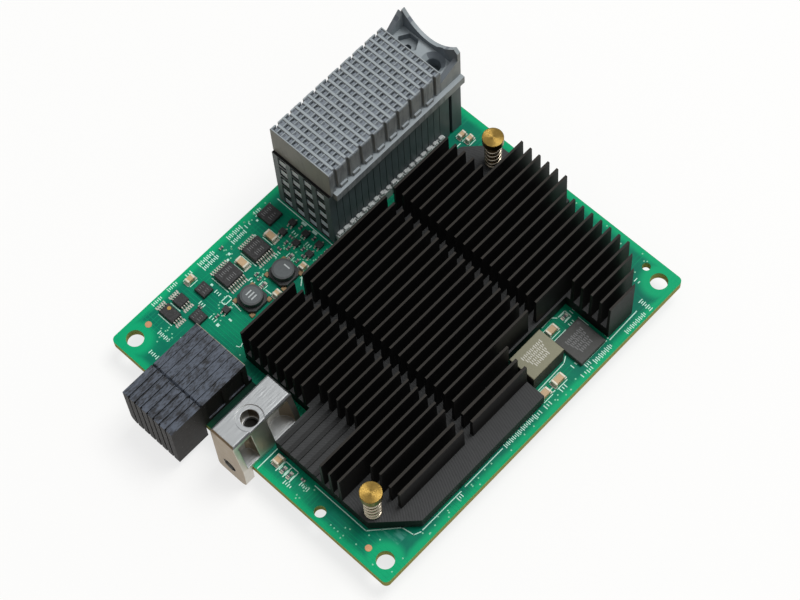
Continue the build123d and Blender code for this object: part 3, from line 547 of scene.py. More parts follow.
class Finish(Nodes):
    """A material being made: a Principled shader and the nodes that feed it."""

    def __init__(self, name, **constants):
        self.material = bpy.data.materials.new(name)
        self.material.use_nodes = True
        super().__init__(self.material.node_tree)
        self.shader = self.tree.nodes["Principled BSDF"]
        for key, value in constants.items():
            self.shader.inputs[self.socket_name(key)].default_value = value
        coordinates = self.node("ShaderNodeTexCoord", output="Object")
        self.place = self.node(
            "ShaderNodeVectorMath", {"operation": "SCALE"}, {0: coordinates, "Scale": 1 / MM}
        )
        self.x, self.y, self.z = self.split(self.place)
        facing = self.node("ShaderNodeNewGeometry", output="True Normal")
        self.face_x, self.face_y, self.face_z = self.split(facing)

    def socket_name(self, key):
        """Shader socket for a plain keyword."""
        return key.replace("_", " ").title().replace("Ior", "IOR")

    def noise(self, size, detail=3.0, stretch=(1.0, 1.0, 1.0)):
        """Noise from 0 to 1 whose lumps are about size millimetres across, more along a small stretch."""
        place = self.node(
            "ShaderNodeVectorMath", {"operation": "MULTIPLY"}, {0: self.place, 1: stretch}
        )
        return self.node(
            "ShaderNodeTexNoise", None,
            {"Vector": place, "Scale": 1 / size, "Detail": detail, "Roughness": 0.55},
        )

    def wander(self, low, spread, size):
        """Value that wanders from low up by a spread, in lumps of a size in millimetres."""
        return low + self.noise(size) * spread

    def off(self, middle):
        """Distances along x and along y from a place on the card."""
        return self.x - (middle[0] + CORNER[0]), self.y - (middle[1] + CORNER[1])

    def above(self, height):
        """Height over a level given from the board's top."""
        return self.z - (height + CORNER[2])

    def within(self, middle, half_size):
        """1 inside an upright box on the card given by its middle and half sizes, else 0."""
        off_x, off_y = self.off(middle)
        return (abs(off_x) < half_size[0]) * (abs(off_y) < half_size[1])

    def away(self, *middles):
        """Level distance from the nearest of some places on the card."""
        nearest = None
        for middle in middles:
            off_x, off_y = self.off(middle)
            gap = (off_x * off_x + off_y * off_y).root()
            nearest = gap if nearest is None else nearest.smallest(gap)
        return nearest

    def rounded(self, radius):
        """Normal that softens sharp edges over a radius in millimetres."""
        return self.node("ShaderNodeBevel", {"samples": 6}, {"Radius": radius * MM})

    def bump(self, height, depth, base=None):
        """Normal that follows a height field, depth millimetres deep, over a base normal."""
        sockets = {"Height": height, "Distance": depth * MM, "Strength": 1.0}
        if base is not None:
            sockets["Normal"] = base
        return self.node("ShaderNodeBump", None, sockets)

    def feed(self, **fields):
        """Links fields that change over the surface to the shader, and gives the finished material."""
        for key, value in fields.items():
            self.tree.links.new(value.socket, self.shader.inputs[self.socket_name(key)])
        return self.material


def two_tone(name, first, second, size, detail=3.0, **constants):
    """Material that wanders between two tones in lumps of a size in millimetres."""
    finish = Finish(name, **constants)
    return finish.feed(base_color=finish.mix(finish.noise(size, detail), first, second))


def tinned(look):
    """Tinned metal: pale, a little cloudy."""
    tin = Finish("tinned_metal", metallic=0.55)
    return tin.feed(
        base_color=tin.mix(tin.noise(0.5), look.tin, TIN_DULL),
        roughness=tin.wander(0.32, 0.2, 0.4),
    )


def dress(names, material):
    """Gives CAD nodes a material."""
    for name in names:
        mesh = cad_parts[name].data
        mesh.materials.clear()
        mesh.materials.append(material)


def on_card(places, height=0.0):
    """Places on the card, x and y, as points of the frame at a height above the board's top."""
    places = np.asarray(places, dtype=float)
    return np.concatenate((places, np.full((*places.shape[:-1], 1), height)), axis=-1) + CORNER


def spread(count, pitch):
    """Even places about zero, a pitch apart."""
    return (np.arange(count) - (count - 1) / 2) * pitch


def grid(columns, rows):
    """Every pairing of x from the columns with y from the rows, row by row."""
    return np.stack(np.meshgrid(columns, rows), axis=-1).reshape(-1, 2)


def beside(columns, *values):
    """The columns of a table with more columns, each of which holds one value all down."""
    return np.concatenate((columns, np.tile(values, (len(columns), 1))), axis=1)


def sides(parts):
    """Middles and sizes of parts given as middle x, y, width and length, and which size is the longer."""
    sizes = parts[:, 2:]
    return parts[:, :2], sizes, sizes >= sizes.max(axis=1, keepdims=True)


def lofted(rings):
    """Closed solids from rings of points: an array of solids, rings, points and xyz.

    Each ring runs anticlockwise seen from the far end. Point c of ring r joins point c + 1
    and ring r + 1 in one quad, and the first and last rings are closed by one face each.
    """
    solids, levels, points = rings.shape[:3]
    index = np.arange(solids * levels * points).reshape(solids, levels, points)
    ahead = np.roll(index, -1, axis=2)
    quads = np.stack(
        (index[:, :-1], ahead[:, :-1], ahead[:, 1:], index[:, 1:]), axis=-1
    ).reshape(-1, 4)
    caps = np.concatenate((index[:, 0, ::-1], index[:, -1]))
    sizes = np.concatenate((np.full(len(quads), 4), np.full(len(caps), points)))
    return rings.reshape(-1, 3), sizes, np.concatenate((quads.ravel(), caps.ravel()))


def joined(*shapes):
    """Several shapes as one: points one after the other, corner numbers moved up to match."""
    counts = np.cumsum([0] + [len(shape[0]) for shape in shapes[:-1]])
    corners = [shape[2] + count for shape, count in zip(shapes, counts)]
    return (np.concatenate([shape[0] for shape in shapes]),
            np.concatenate([shape[1] for shape in shapes]), np.concatenate(corners))


def soft_boxes(bases, sizes, bevel):
    """Boxes with bevelled upright and top edges.

    Each ring is a rectangle with its four corners cut off, so it has eight points. The ring is
    full at the base and just under the top, and drawn in by the bevel at the top.
    """
    cut = np.minimum(bevel, sizes[:, :2].min(axis=1) / 4)[:, None, None]
    signs = np.array(((-1, -1), (1, -1), (1, -1), (1, 1), (1, 1), (-1, 1), (-1, 1), (-1, -1)))
    pull = np.array(((1, 0), (1, 0), (0, 1), (0, 1), (1, 0), (1, 0), (0, 1), (0, 1)))
    half = sizes[:, None, :2] / 2
    full = signs * (half - cut * pull)
    small = signs * (half - cut * pull - cut)
    flat = np.stack((full, full, small), axis=1) + bases[:, None, None, :2]
    tops = sizes[:, 2]
    levels = np.stack((0 * tops, tops - cut[:, 0, 0], tops), axis=1) + bases[:, 2:3]
    height = np.broadcast_to(levels[:, :, None, None], (*flat.shape[:3], 1))
    return lofted(np.concatenate((flat, height), axis=-1))


def like_boxes(places, height, size, bevel):
    """Boxes of one size that stand at a height on places of the card."""
    return soft_boxes(on_card(places, height), np.tile(size, (len(places), 1)), bevel)


def strokes(lines, width, base, height):
    """Flat bars along lines given as x, y to x, y on the card.

    The four corners of a bar are its ends moved half a width out along the line and to each side.
    """
    start, end = lines[:, :2], lines[:, 2:4]
    along = end - start
    along = along / np.linalg.norm(along, axis=1, keepdims=True) * width / 2
    across = np.stack((-along[:, 1], along[:, 0]), axis=1)
    corners = np.stack((start - along - across, end + along - across,
                        end + along + across, start - along + across), axis=1)
    return lofted(np.stack((on_card(corners, base), on_card(corners, base + height)), axis=1))


def bars(rows):
    """Short bars across rows given as middle x, y and extents along x and y, as lines.

    The bars stand at an even spacing along the row and their lengths go through a cycle of four.
    """
    lines = []
    for x, y, wide, deep in rows:
        extent = np.array((wide, deep))
        along = extent * (extent == extent.max())
        across = extent - along
        count = max(2, round(extent.max() / PRINT_BAR_SPACING))
        middle = np.array((x, y)) + np.linspace(-0.5, 0.5, count)[:, None] * along
        reach = np.resize(PRINT_BAR_LENGTHS, count)[:, None] * across / 2
        lines.append(np.concatenate((middle - reach, middle + reach), axis=1))
    return np.concatenate(lines)


def turned(middles, radii, heights, sides):
    """Round solids about upright axes: rings of a circle with a radius at each height."""
    angles = np.arange(sides) / sides * TURN
    circle = np.stack((np.cos(angles), np.sin(angles)), axis=1)
    rings = np.zeros((len(middles), len(radii), sides, 3))
    rings[..., :2] = np.asarray(radii)[:, None, None] * circle
    rings[..., 2] = np.asarray(heights)[:, None]
    return lofted(rings + middles[:, None, None])


def wound(middle, coil_radius, wire_radius, low, high, turns, steps=28, sides=12):
    """Coil spring: a round section carried along a helix whose ends lie nearly flat.

    The section's axes point away from the coil's axis and across the wire's direction. The rise
    is slow over the first and last sixth of the wire and even between them.
    """
    share = np.linspace(0, 1, int(turns * steps) + 1)
    angles = share * turns * TURN
    rise = np.interp(share, (0, 0.16, 0.84, 1), (0, 0.05, 0.95, 1))
    out = np.stack((np.cos(angles), np.sin(angles), 0 * angles), axis=1)
    path = out * coil_radius
    path[:, 2] = low + rise * (high - low)
    ahead = np.gradient(path, axis=0)
    ahead /= np.linalg.norm(ahead, axis=1, keepdims=True)
    across = np.cross(ahead, out)
    section = np.arange(sides) / sides * TURN
    rings = path[:, None] + wire_radius * (
        np.cos(section)[:, None] * out[:, None] + np.sin(section)[:, None] * across[:, None])
    return lofted((rings + np.array((middle[0], middle[1], 0)))[None])


def bent_leads(roots, outward, shoulder, reach, width):
    """Gull-wing leads: a flat strip from a package's side, down and out on to its pad.

    The path has four stations: at the side, on the shoulder, at the foot's heel and at its toe.
    Run and drop are shares of the reach and of the shoulder's height there, and lift is the way
    that the strip's top faces, outward and up. The section is a rectangle across the path.
    """
    run = np.array((-0.05, 0.3, 0.62, 1.0))
    drop = np.array((1.0, 1.0, 0.0, 0.0))
    lift = np.array(((-0.1, 1.0), (0.45, 0.9), (0.45, 0.9), (0.0, 1.0)))
    count = len(roots)
    side = np.stack((-outward[:, 1], outward[:, 0]), axis=1)
    out = run * reach[:, None]
    height = drop * (shoulder - LEAD_THICKNESS)[:, None] + LEAD_THICKNESS / 2
    level = roots[:, None] + outward[:, None] * out[..., None]
    middle = np.concatenate((level, height[..., None]), axis=-1)
    up = np.concatenate((np.broadcast_to(outward[:, None] * lift[:, :1], (count, 4, 2)),
                         np.broadcast_to(lift[:, 1:], (count, 4, 1))), axis=-1)
    up = up * LEAD_THICKNESS / 2
    wide = beside(side, 0.0)[:, None] * width[:, None, None] / 2
    rings = np.stack((middle - wide - up, middle + wide - up, middle + wide + up, middle - wide + up),
                     axis=2)
    return lofted(rings + CORNER)


def add_piece(name, shape, material, smooth=False):
    """Mesh object from whole arrays of points, face sizes and corners, riding on the card."""
    vertices, face_sizes, corners = shape
    mesh = bpy.data.meshes.new(name)
    mesh.vertices.add(len(vertices))
    mesh.vertices.foreach_set("co", (vertices * MM).astype(np.float32).ravel())
    mesh.loops.add(len(corners))
    mesh.loops.foreach_set("vertex_index", corners.astype(np.int32))
    mesh.polygons.add(len(face_sizes))
    starts = np.concatenate(([0], np.cumsum(face_sizes)[:-1]))
    mesh.polygons.foreach_set("loop_start", starts.astype(np.int32))
    mesh.update(calc_edges=True)
    if mesh.validate():
        raise RuntimeError(f"{name} has faces that had to be mended")
    mesh.polygons.foreach_set("use_smooth", np.full(len(mesh.polygons), smooth))
    mesh.materials.append(material)
    piece = bpy.data.objects.new(name, mesh)
    bpy.context.scene.collection.objects.link(piece)
    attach(piece, "root")
    return piece


class CARD_OT_board(bpy.types.Operator):
    """Green lacquer over copper, lighter along the edges and round the holes, and the cut edge"""

    bl_idname = "card.board"
    bl_label = "Board finish"

    def execute(self, context):
        look = context.scene.card_board
        finish = Finish("solder_mask", specular_ior_level=0.1)
        tracks = self.tracks(finish)
        flat = abs(finish.face_z) > 0.5
        finish.feed(
            base_color=finish.mix(flat, self.fibres(finish, look), self.lacquer(finish, look, tracks)),
            roughness=finish.wander(0.36, 0.12, 1.5) + (1 - flat) * 0.3,
            normal=finish.bump(tracks, 0.03),
        )
        dress(["circuit_board"], finish.material)
        return {"FINISHED"}

    def lacquer(self, finish, look, tracks):
        """Lacquer over copper, clouded, paler on tracks and off the copper, hazy in one place, and darkened
        by painted shade in the gap beside the guide block.
        """
        left, front = finish.x - BOARD_LOW[0], finish.y - BOARD_LOW[1]
        inset = left.smallest(BOARD_SIZE[0] - left).smallest(front.smallest(BOARD_SIZE[1] - front))
        bare = 1 - (inset + finish.noise(2.5) * 1.2).rise(*EDGE_FADE)
        bare = bare.largest(1 - finish.away(*CORNER_HOLES).rise(*HOLE_FADE))
        cloud = finish.noise(9.0, 4.0).rise(0.35, 0.75)
        tone = finish.mix(cloud * 0.35, look.mask, look.mask_bare)
        tone = finish.mix(tracks * 0.3, tone, look.mask_bare)
        tone = finish.mix(bare * 0.9, tone, look.mask_bare)
        top = finish.face_z > 0.5
        wiped = finish.noise(1.5, 3.0, (0.4, 1.0, 1.0)).rise(0.45, 0.65)
        tone = finish.mix(top * finish.within(HAZE_MIDDLE, HAZE_HALF) * wiped * 0.3, tone, BOARD_HAZE)
        # Painted shade: the board is darkened in the narrow gap between the edge connector and the guide
        # block
        return finish.mix(top * finish.within(SHADED_GAP_MIDDLE, SHADED_GAP_HALF) * 0.9, tone, BOARD_SHADE)

    def fibres(self, finish, look):
        """Cut edge of the laminate, greener towards the top."""
        layers = finish.noise(0.5, 2.0, (1, 1, 5))
        upper = (finish.z - BOARD_LOW[2]).rise(*GREEN_RIM)
        return finish.mix(upper * 0.6, finish.mix(layers, look.edge, FIBRE_DARK), FIBRE_GREEN)

    def tracks(self, finish):
        """Faint runs of copper tracks: stripes along y and along x, each kept only in some patches."""
        runs = []
        for across, stretch, patch in ((finish.x, (1.0, 0.25, 1.0), 5.0), (finish.y, (0.25, 1.0, 1.0), 6.0)):
            stripes = across.wave(TRACK_PITCH).rise(0.55, 0.85)
            runs.append(stripes * finish.noise(patch, 1.0, stretch).rise(0.52, 0.6))
        return runs[0].largest(runs[1])


class CARD_OT_print(bpy.types.Operator):
    """White printed outlines, and rows of plain bars in place of small print"""

    bl_idname = "card.print"
    bl_label = "Printed marks"

    def execute(self, context):
        look = context.scene.card_board
        ink = two_tone("white_ink", look.print_white, INK_THIN, 0.35, 4.0, roughness=0.6)
        width, height = look.print_width / MM, look.print_height / MM
        shape = joined(
            strokes(PRINT_LINES, width, 0, height),
            strokes(bars(PRINT_ROWS), width, 0, height),
            strokes(self.brackets(), width * BRACKET_THINNING, 0, height),
            soft_boxes(on_card(PRINT_TABS[:, :2]), beside(PRINT_TABS[:, 2:], height), height / 2),
            turned(on_card(self.dots()), (PRINT_DOT_RADIUS, PRINT_DOT_RADIUS), (0, height), 8),
        )
        add_piece("printed_marks", shape, ink)
        return {"FINISHED"}

    def brackets(self):
        """Two lines beside each capacitor and resistor, along its longer sides."""
        middle, size, longer = sides(MARKED_PARTS)
        half = size / 2 * longer
        side = (size / 2 + BRACKET_GAP) * ~longer
        lines = [np.concatenate((middle - half + sign * side, middle + half + sign * side), axis=1)
                 for sign in (-1, 1)]
        return np.concatenate(lines)

    def dots(self):
        """Dotted line behind the memory chip, evenly spaced."""
        share = np.linspace(0, 1, DOT_COUNT)[:, None]
        return DOTTED_LINE[0] * (1 - share) + DOTTED_LINE[1] * share


class CARD_OT_pads(bpy.types.Operator):
    """Tinned pads, small plated holes, copper targets and the solder tails under the board"""

    bl_idname = "card.pads"
    bl_label = "Pads and plated holes"

    def execute(self, context):
        look = context.scene.card_board
        tin = tinned(context.scene.card_part)
        lacquered = two_tone("lacquered_holes", HOLE_GREEN, HOLE_PALE, 0.7, roughness=0.4)
        copper = two_tone("bare_copper", look.copper, COPPER_DULL, 0.4, metallic=0.5, roughness=0.45)
        pads = self.pads()
        shape = soft_boxes(on_card(pads[:, :2]), beside(pads[:, 2:], PAD_HEIGHT), PAD_BEVEL)
        add_piece("tinned_pads", shape, tin)
        radius = look.via_radius / MM
        shape = turned(on_card(self.vias()), (radius, radius * VIA_TAPER), (0, VIA_HEIGHT), 8)
        add_piece("plated_holes", shape, lacquered)
        radius = look.target_radius / MM
        radii = (radius, radius * TARGET_TAPER)
        shape = turned(on_card(COPPER_TARGETS), radii, (0, TARGET_HEIGHT), 32)
        add_piece("copper_targets", shape, copper)
        shape = turned(self.tails(), TAIL_RADII, TAIL_HEIGHTS, 10)
        add_piece("solder_tails", shape, tin, smooth=True)
        return {"FINISHED"}

    def pads(self):
        """Pads under the ends of each capacitor and resistor, and under each chip's two rows of leads."""
        middle, size, longer = sides(MARKED_PARTS)
        pad = np.where(longer, PAD_LENGTH, size + PAD_MARGIN)
        pads = [np.concatenate((middle + sign * longer * size / 2, pad), axis=1) for sign in (-1, 1)]
        for x, y, wide, deep, _ in LEAD_CHIPS:
            end = (deep - LEAD_PAD_PITCH) / 2
            rows = np.linspace(-end, end, round(deep / LEAD_PAD_PITCH)) + y
            columns = x + np.array((-1, 1)) * (wide / 2 + LEAD_PAD_OUT)
            pads.append(beside(grid(columns, rows), *LEAD_PAD_SIZE))
        return np.concatenate(pads)

    def vias(self):
        """Even random places in the free zones, clear of the larger holes; the seed is fixed."""
        random = np.random.default_rng(seed=11)
        places = np.concatenate([
            random.uniform((left, front), (right, rear), (int(count), 2))
            for left, front, right, rear, count in VIA_ZONES
        ])
        holes = np.array((*CORNER_HOLES, FRONT_TOOL_HOLE, *COPPER_TARGETS))
        gap = np.linalg.norm(places[:, None] - holes, axis=2)
        return places[(gap > VIA_CLEARANCE).all(axis=1)]

    def tails(self):
        """Press-fit ends of both connectors under the board, on their contact grids."""
        tall = grid(spread(COLUMN_COUNT, COLUMN_PITCH), spread(ROW_COUNT, ROW_PITCH)) + CAP_MIDDLE
        edge = grid(spread(EDGE_COLUMNS, EDGE_PITCH) + EDGE_MIDDLE,
                    np.arange(EDGE_ROWS) * EDGE_ROW_PITCH + EDGE_FIRST_ROW)
        return on_card(np.concatenate((tall, edge)), -BOARD_SIZE[2])


class CARD_OT_heat_sink(bpy.types.Operator):
    """Black anodised fins, worn edges lightened by a painted sheen, milled floors, and the pad below"""

    bl_idname = "card.heat_sink"
    bl_label = "Heat sink finish"

    def execute(self, context):
        dress(["heat_sink"], self.anodised(context.scene.card_sink))
        soft = two_tone("thermal_pad", context.scene.card_part.pad, PAD_DARK, 0.5, roughness=0.8)
        dress(["thermal_pad"], soft)
        return {"FINISHED"}

    def anodised(self, look):
        """Fins by the way their faces look and by height: dark sides, milled floors, and worn top edges with
        a painted sheen.
        """
        finish = Finish("anodised_sink", specular_ior_level=0.2)
        up = finish.face_z > 0.7
        height = finish.above(FIN_LEVEL)
        floor, edge = up * (height < 0.0), up * (height > 0.0)
        marks = finish.noise(0.4, 4.0, (0.12, 1.0, 1.0))
        sweep = finish.away(SWEEP_MIDDLE).wave(SWEEP_PITCH) * 0.5 + 0.5
        milled = finish.mix(marks * 0.7 + sweep * 0.3, MILLED_DARK, look.milled)
        milled = finish.mix((finish.above(STUB_LEVEL) > 0.0) * 0.6, milled, STUB_DARK)
        dark = finish.mix(finish.noise(4.0, 4.0), look.anodised, ANODISED_PALE)
        # Painted sheen with wear: the fin tops are lighter and browner
        worn = finish.mix(finish.noise(1.2, 4.0, (1.0, 0.3, 1.0)), FIN_EDGE_DARK, look.edge)
        return finish.feed(
            base_color=finish.mix(edge, finish.mix(floor, dark, milled), worn),
            roughness=finish.wander(0.52, 0.1, 1.0) - edge * 0.12,
            normal=finish.bump(marks * floor + sweep * floor * 0.4, 0.05),
        )


class CARD_OT_spring_pins(bpy.types.Operator):
    """Turned brass pins, and springs wound in round wire"""

    bl_idname = "card.spring_pins"
    bl_label = "Spring pins"

    def execute(self, context):
        look = context.scene.card_sink
        pins = numbered("spring_pin_")
        brass = Finish("turned_brass", metallic=1.0)
        rings = brass.away(*(middle_of(name) for name in pins)).wave(TURNING_PITCH) * 0.5 + 0.5
        brass.feed(
            base_color=brass.mix(brass.noise(1.0), look.brass, BRASS_DARK),
            roughness=brass.wander(0.26, 0.12, 0.6),
            normal=brass.bump(rings, 0.012, brass.rounded(0.22)),
        )
        dress(pins, brass.material)
        wire = Finish("spring_wire", metallic=1.0)
        # Painted warm reflection of the brass in the wire's steel tone
        wire.feed(
            base_color=wire.mix(wire.noise(1.0), look.steel, WIRE_DARK),
            roughness=wire.wander(0.2, 0.1, 0.4),
        )
        coil_radius, wire_radius = look.coil_radius / MM, look.wire_radius / MM
        for name in numbered("pin_spring_"):
            low, high = node_box(name)
            shape = wound((low + high) / 2, coil_radius, wire_radius, low[2] + wire_radius,
                          high[2] - wire_radius, SPRING_TURNS)
            coil = add_piece(name.replace("pin_spring", "wound_spring"), shape, wire.material,
                             smooth=True)
            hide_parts(name)
        return {"FINISHED"}


class CARD_OT_tall_connector(bpy.types.Operator):
    """Grey moulded connector with its contact cells and the walls between them"""

    bl_idname = "card.tall_connector"
    bl_label = "Tall connector"

    def execute(self, context):
        look = context.scene.card_connector
        strip = two_tone("comb_moulding", look.strip, COMB_DARK, 0.8, roughness=0.5)
        cap = self.cap_finish(look)
        dress(["tall_connector_cap"], cap)
        add_piece("cell_partitions", self.partitions(look), cap)
        add_piece("cell_lattice", self.lattice(look), cap)
        add_piece("contact_blocks", self.contacts(), cap)
        add_piece("comb_teeth", self.teeth(), strip)
        dress(["tall_connector_foot_strip"], strip)
        dress(numbered("tall_connector_wafer") + ["tall_connector_end_post"], self.wafer_finish(look))
        return {"FINISHED"}

    def cap_finish(self, look):
        """Grey plastic with stained sides; painted shade darkens the cell floors, the right-hand faces and
        the bay behind, a painted shadow marks where each contact enters, and a painted warm reflection tans
        the front.
        """
        cap = Finish("grey_moulding", specular_ior_level=0.4)
        off_x, off_y = cap.off(CAP_MIDDLE)
        column, row = off_x / COLUMN_PITCH + COLUMN_COUNT / 2, off_y / ROW_PITCH + ROW_COUNT / 2
        depth = abs(cap.above(CAP_TOP - CELL_DEPTH / 2))
        floor = (cap.face_z > 0.7) * (depth < CELL_DEPTH / 2 + CELL_MARGIN)
        entry = floor
        for cell, middle, half in zip((column, row), ENTRY_MIDDLE, ENTRY_HALF):
            entry = entry * (abs(cell % 1 - middle) < half)
        behind = off_y > ROW_COUNT / 2 * ROW_PITCH + CELL_MARGIN
        before = 1 - behind
        side = 1 - abs(cap.face_z).rise(0.2, 0.5)
        stain = cap.noise(1.3, 4.0, (1.0, 1.0, 0.25)).rise(0.45, 0.75)
        # Painted shade for the right-hand faces: an even share with streaks on top
        right_shade = 0.2 + cap.noise(0.7, 3.0, (1.0, 1.0, 0.2)).rise(0.4, 0.65) * 0.35
        tone = cap.mix(cap.noise(3.0), look.cap, CAP_DARK)
        # Painted shade on the cell floors in their recesses
        tone = cap.mix(floor, tone, look.cell)
        # Painted shadow where each contact enters its cell, in place of a hole
        tone = cap.mix(entry * 0.55, tone, CAP_ENTRY_SHADOW)
        # Painted shade on the forward-looking faces of the bay behind the cap
        tone = cap.mix(behind * (cap.face_y < -0.3) * 0.6, tone, CAP_BAY_SHADE)
        # Painted warm reflection on the cap's front faces
        tone = cap.mix(before * (cap.face_y < -0.5) * 0.45, tone, CAP_FRONT_REFLECTION)
        tone = cap.mix(side * stain * 0.28, tone, CAP_STAIN)
        # Painted shade on the right-hand faces, heavier in streaks
        tone = cap.mix((cap.face_x > 0.5) * before * right_shade, tone, CAP_RIGHT_SHADE)
        return cap.feed(
            base_color=tone,
            roughness=cap.wander(0.45, 0.15, 0.8),
            normal=cap.bump(cap.noise(0.2), 0.015, cap.rounded(0.12)),
        )

    def openings(self, halves):
        """Middles of every opening's shares; openings sit half a column left, then right, row by row."""
        count = COLUMN_COUNT // OPENING_COLUMNS
        y, x, half = np.meshgrid(spread(ROW_COUNT, ROW_PITCH), spread(count, OPENING_COLUMNS * COLUMN_PITCH),
                                 halves, indexing="ij")
        aside = np.where(np.arange(ROW_COUNT) % 2, 0.5, -0.5)[:, None, None]
        return np.stack((x + (aside + half) * COLUMN_PITCH, y), axis=-1).reshape(-1, 2) + CAP_MIDDLE

    def partitions(self, look):
        """A thin wall across the middle of each opening."""
        size = (look.partition / MM, CELL_SIZE, CELL_DEPTH + PARTITION_RISE)
        return like_boxes(self.openings((0.0,)), CAP_TOP - CELL_DEPTH, size, CELL_BEVEL / 2)

    def contacts(self):
        """A block in each half of every opening, against its right side, with a dark gap beside it."""
        places = self.openings((-0.5, 0.5)) + (CONTACT_SHIFT, 0.0)
        size = (*CONTACT_SIZE, CELL_DEPTH - CONTACT_DROP)
        return like_boxes(places, CAP_TOP - CELL_DEPTH, size, CELL_BEVEL)

    def lattice(self, look):
        """Raised bars round every cell: long ones between rows, short ones between columns.

        A long bar stops short of the grooves, which come at every other gap between rows. The
        first and last long bars have half the width.
        """
        height = look.lattice / MM
        gap = np.arange(ROW_COUNT + 1)
        ends = (gap == 0) * 1 - (gap == ROW_COUNT) * 1
        y = spread(ROW_COUNT + 1, ROW_PITCH) + ends * BAR_WIDTH / 4
        places = np.stack((0 * y, y), axis=1) + CAP_MIDDLE
        full = CAP_HIGH[0] - CAP_LOW[0] - CAP_RIM
        reach = np.where(gap % 2, full - 2 * GROOVE_DEPTH, full)
        width = np.where(ends, BAR_WIDTH / 2, BAR_WIDTH)
        size = beside(np.stack((reach, width), axis=1), height)
        long_bars = soft_boxes(on_card(places, CAP_TOP), size, CELL_BEVEL)
        places = grid(spread(COLUMN_COUNT + 1, COLUMN_PITCH), spread(ROW_COUNT, ROW_PITCH)) + CAP_MIDDLE
        size = (DIVIDER_WIDTH, ROW_PITCH - BAR_WIDTH, height)
        return joined(long_bars, like_boxes(places, CAP_TOP, size, CELL_BEVEL))

    def teeth(self):
        """Uneven teeth along the top of the foot strip, one at each row of contacts."""
        low, high = card_box("tall_connector_foot_strip")
        places = grid(((low[0] + high[0]) / 2,), spread(ROW_COUNT, ROW_PITCH) + CAP_MIDDLE[1])
        random = np.random.default_rng(seed=5)
        width = np.full(ROW_COUNT, high[0] - low[0] - TOOTH_INSET)
        deep = random.uniform(*TOOTH_LENGTHS, ROW_COUNT)
        tall = random.uniform(*TOOTH_HEIGHTS, ROW_COUNT)
        return soft_boxes(on_card(places, high[2]), np.stack((width, deep, tall), axis=1), TOOTH_BEVEL)

    def wafer_finish(self, look):
        """Dark plates; on the front one painted shade makes the slots black, and the bars across them are
        pale with a painted highlight.
        """
        wafer = Finish("grey_wafer", specular_ior_level=0.35)
        back = wafer.y - node_box("tall_connector_wafer_01")[0][1]
        off_x, _ = wafer.off(CAP_MIDDLE)
        facing = wafer.face_y < -0.5
        # Painted highlight: the bars across the front wafer are made pale
        bar = facing * (back > BAR_FRONT) * (back < SLOT_FRONT)
        # Painted shade: the slots' inner faces, the level faces near the front and the slot columns on the
        # front are made black
        slot_shade = facing * (back > SLOT_FRONT) * (back < SLOT_REAR)
        slot_shade = slot_shade.largest((wafer.face_z > 0.5) * (back < SLOT_TOP_REAR))
        column = abs((off_x / SLOT_PITCH) % 1 - 0.5) * SLOT_PITCH < SLOT_WIDTH / 2
        column = column * (abs(off_x) < 2 * SLOT_PITCH) * (back < BAR_FRONT)
        slot_shade = slot_shade.largest(facing * column * (abs(wafer.above(SLOT_MIDDLE)) < SLOT_HALF) * 0.9)
        tone = wafer.mix(wafer.noise(2.0, 4.0, (1, 1, 0.3)), look.wafer, WAFER_DARK)
        tone = wafer.mix(bar, tone, wafer.mix(wafer.noise(1.0), look.bar, BAR_DARK))
        return wafer.feed(
            base_color=wafer.mix(slot_shade, tone, SLOT_SHADE),
            roughness=wafer.wander(0.42, 0.15, 0.8),
            normal=wafer.rounded(0.1),
        )


class CARD_OT_edge_connector(bpy.types.Operator):
    """Black right-angle connector with a scuffed top"""

    bl_idname = "card.edge_connector"
    bl_label = "Edge connector"

    def execute(self, context):
        look = context.scene.card_connector
        black = Finish("black_moulding", specular_ior_level=0.35)
        streak = black.noise(0.32, 6.0, (1.0, 0.28, 1.0))
        strip = black.y > node_box("edge_connector_wafer_1")[1][1] - EDGE_STRIP_LENGTH
        strip = strip * (black.above(EDGE_STRIP_HEIGHT) > 0.0)
        tone = black.mix(black.face_z > 0.5, self.sides(black, look), self.scuffs(black, look, streak))
        black.feed(
            base_color=black.mix(strip * 0.7, tone, SHROUD_STRIP),
            roughness=0.5 + streak * 0.2,
            normal=black.bump(streak, 0.06, black.rounded(0.1)),
        )
        dress(numbered("edge_connector"), black.material)
        return {"FINISHED"}

    def scuffs(self, black, look, streak):
        """Top: grey streaks in patches, and a broken dark seam over the board's front edge."""
        share = (streak * 0.7 + black.noise(3.0, 4.0) * 0.5).rise(0.45, 0.72)
        near = abs(black.y - (CORNER[1] - SEAM_AHEAD)) < SEAM_HALF
        seam = near * black.noise(0.9).rise(0.5, 0.6)
        return black.mix(seam * 0.8, black.mix(share, SCUFF_DARK, look.worn), SEAM_DARK)

    def sides(self, black, look):
        """Sides: black, with upright brown streaks of painted warm reflection, and pale specks on the right.
        """
        # Painted warm reflection in upright brown streaks on every side
        plain = black.mix(black.noise(0.8, 4.0, (1.0, 1.0, 0.25)), look.shroud, SHROUD_REFLECTION_BROWN)
        speck = black.noise(0.35, 2.0).rise(0.70, 0.76) * (black.face_x > 0.5)
        return black.mix(speck * 0.5, plain, SHROUD_SPECK)


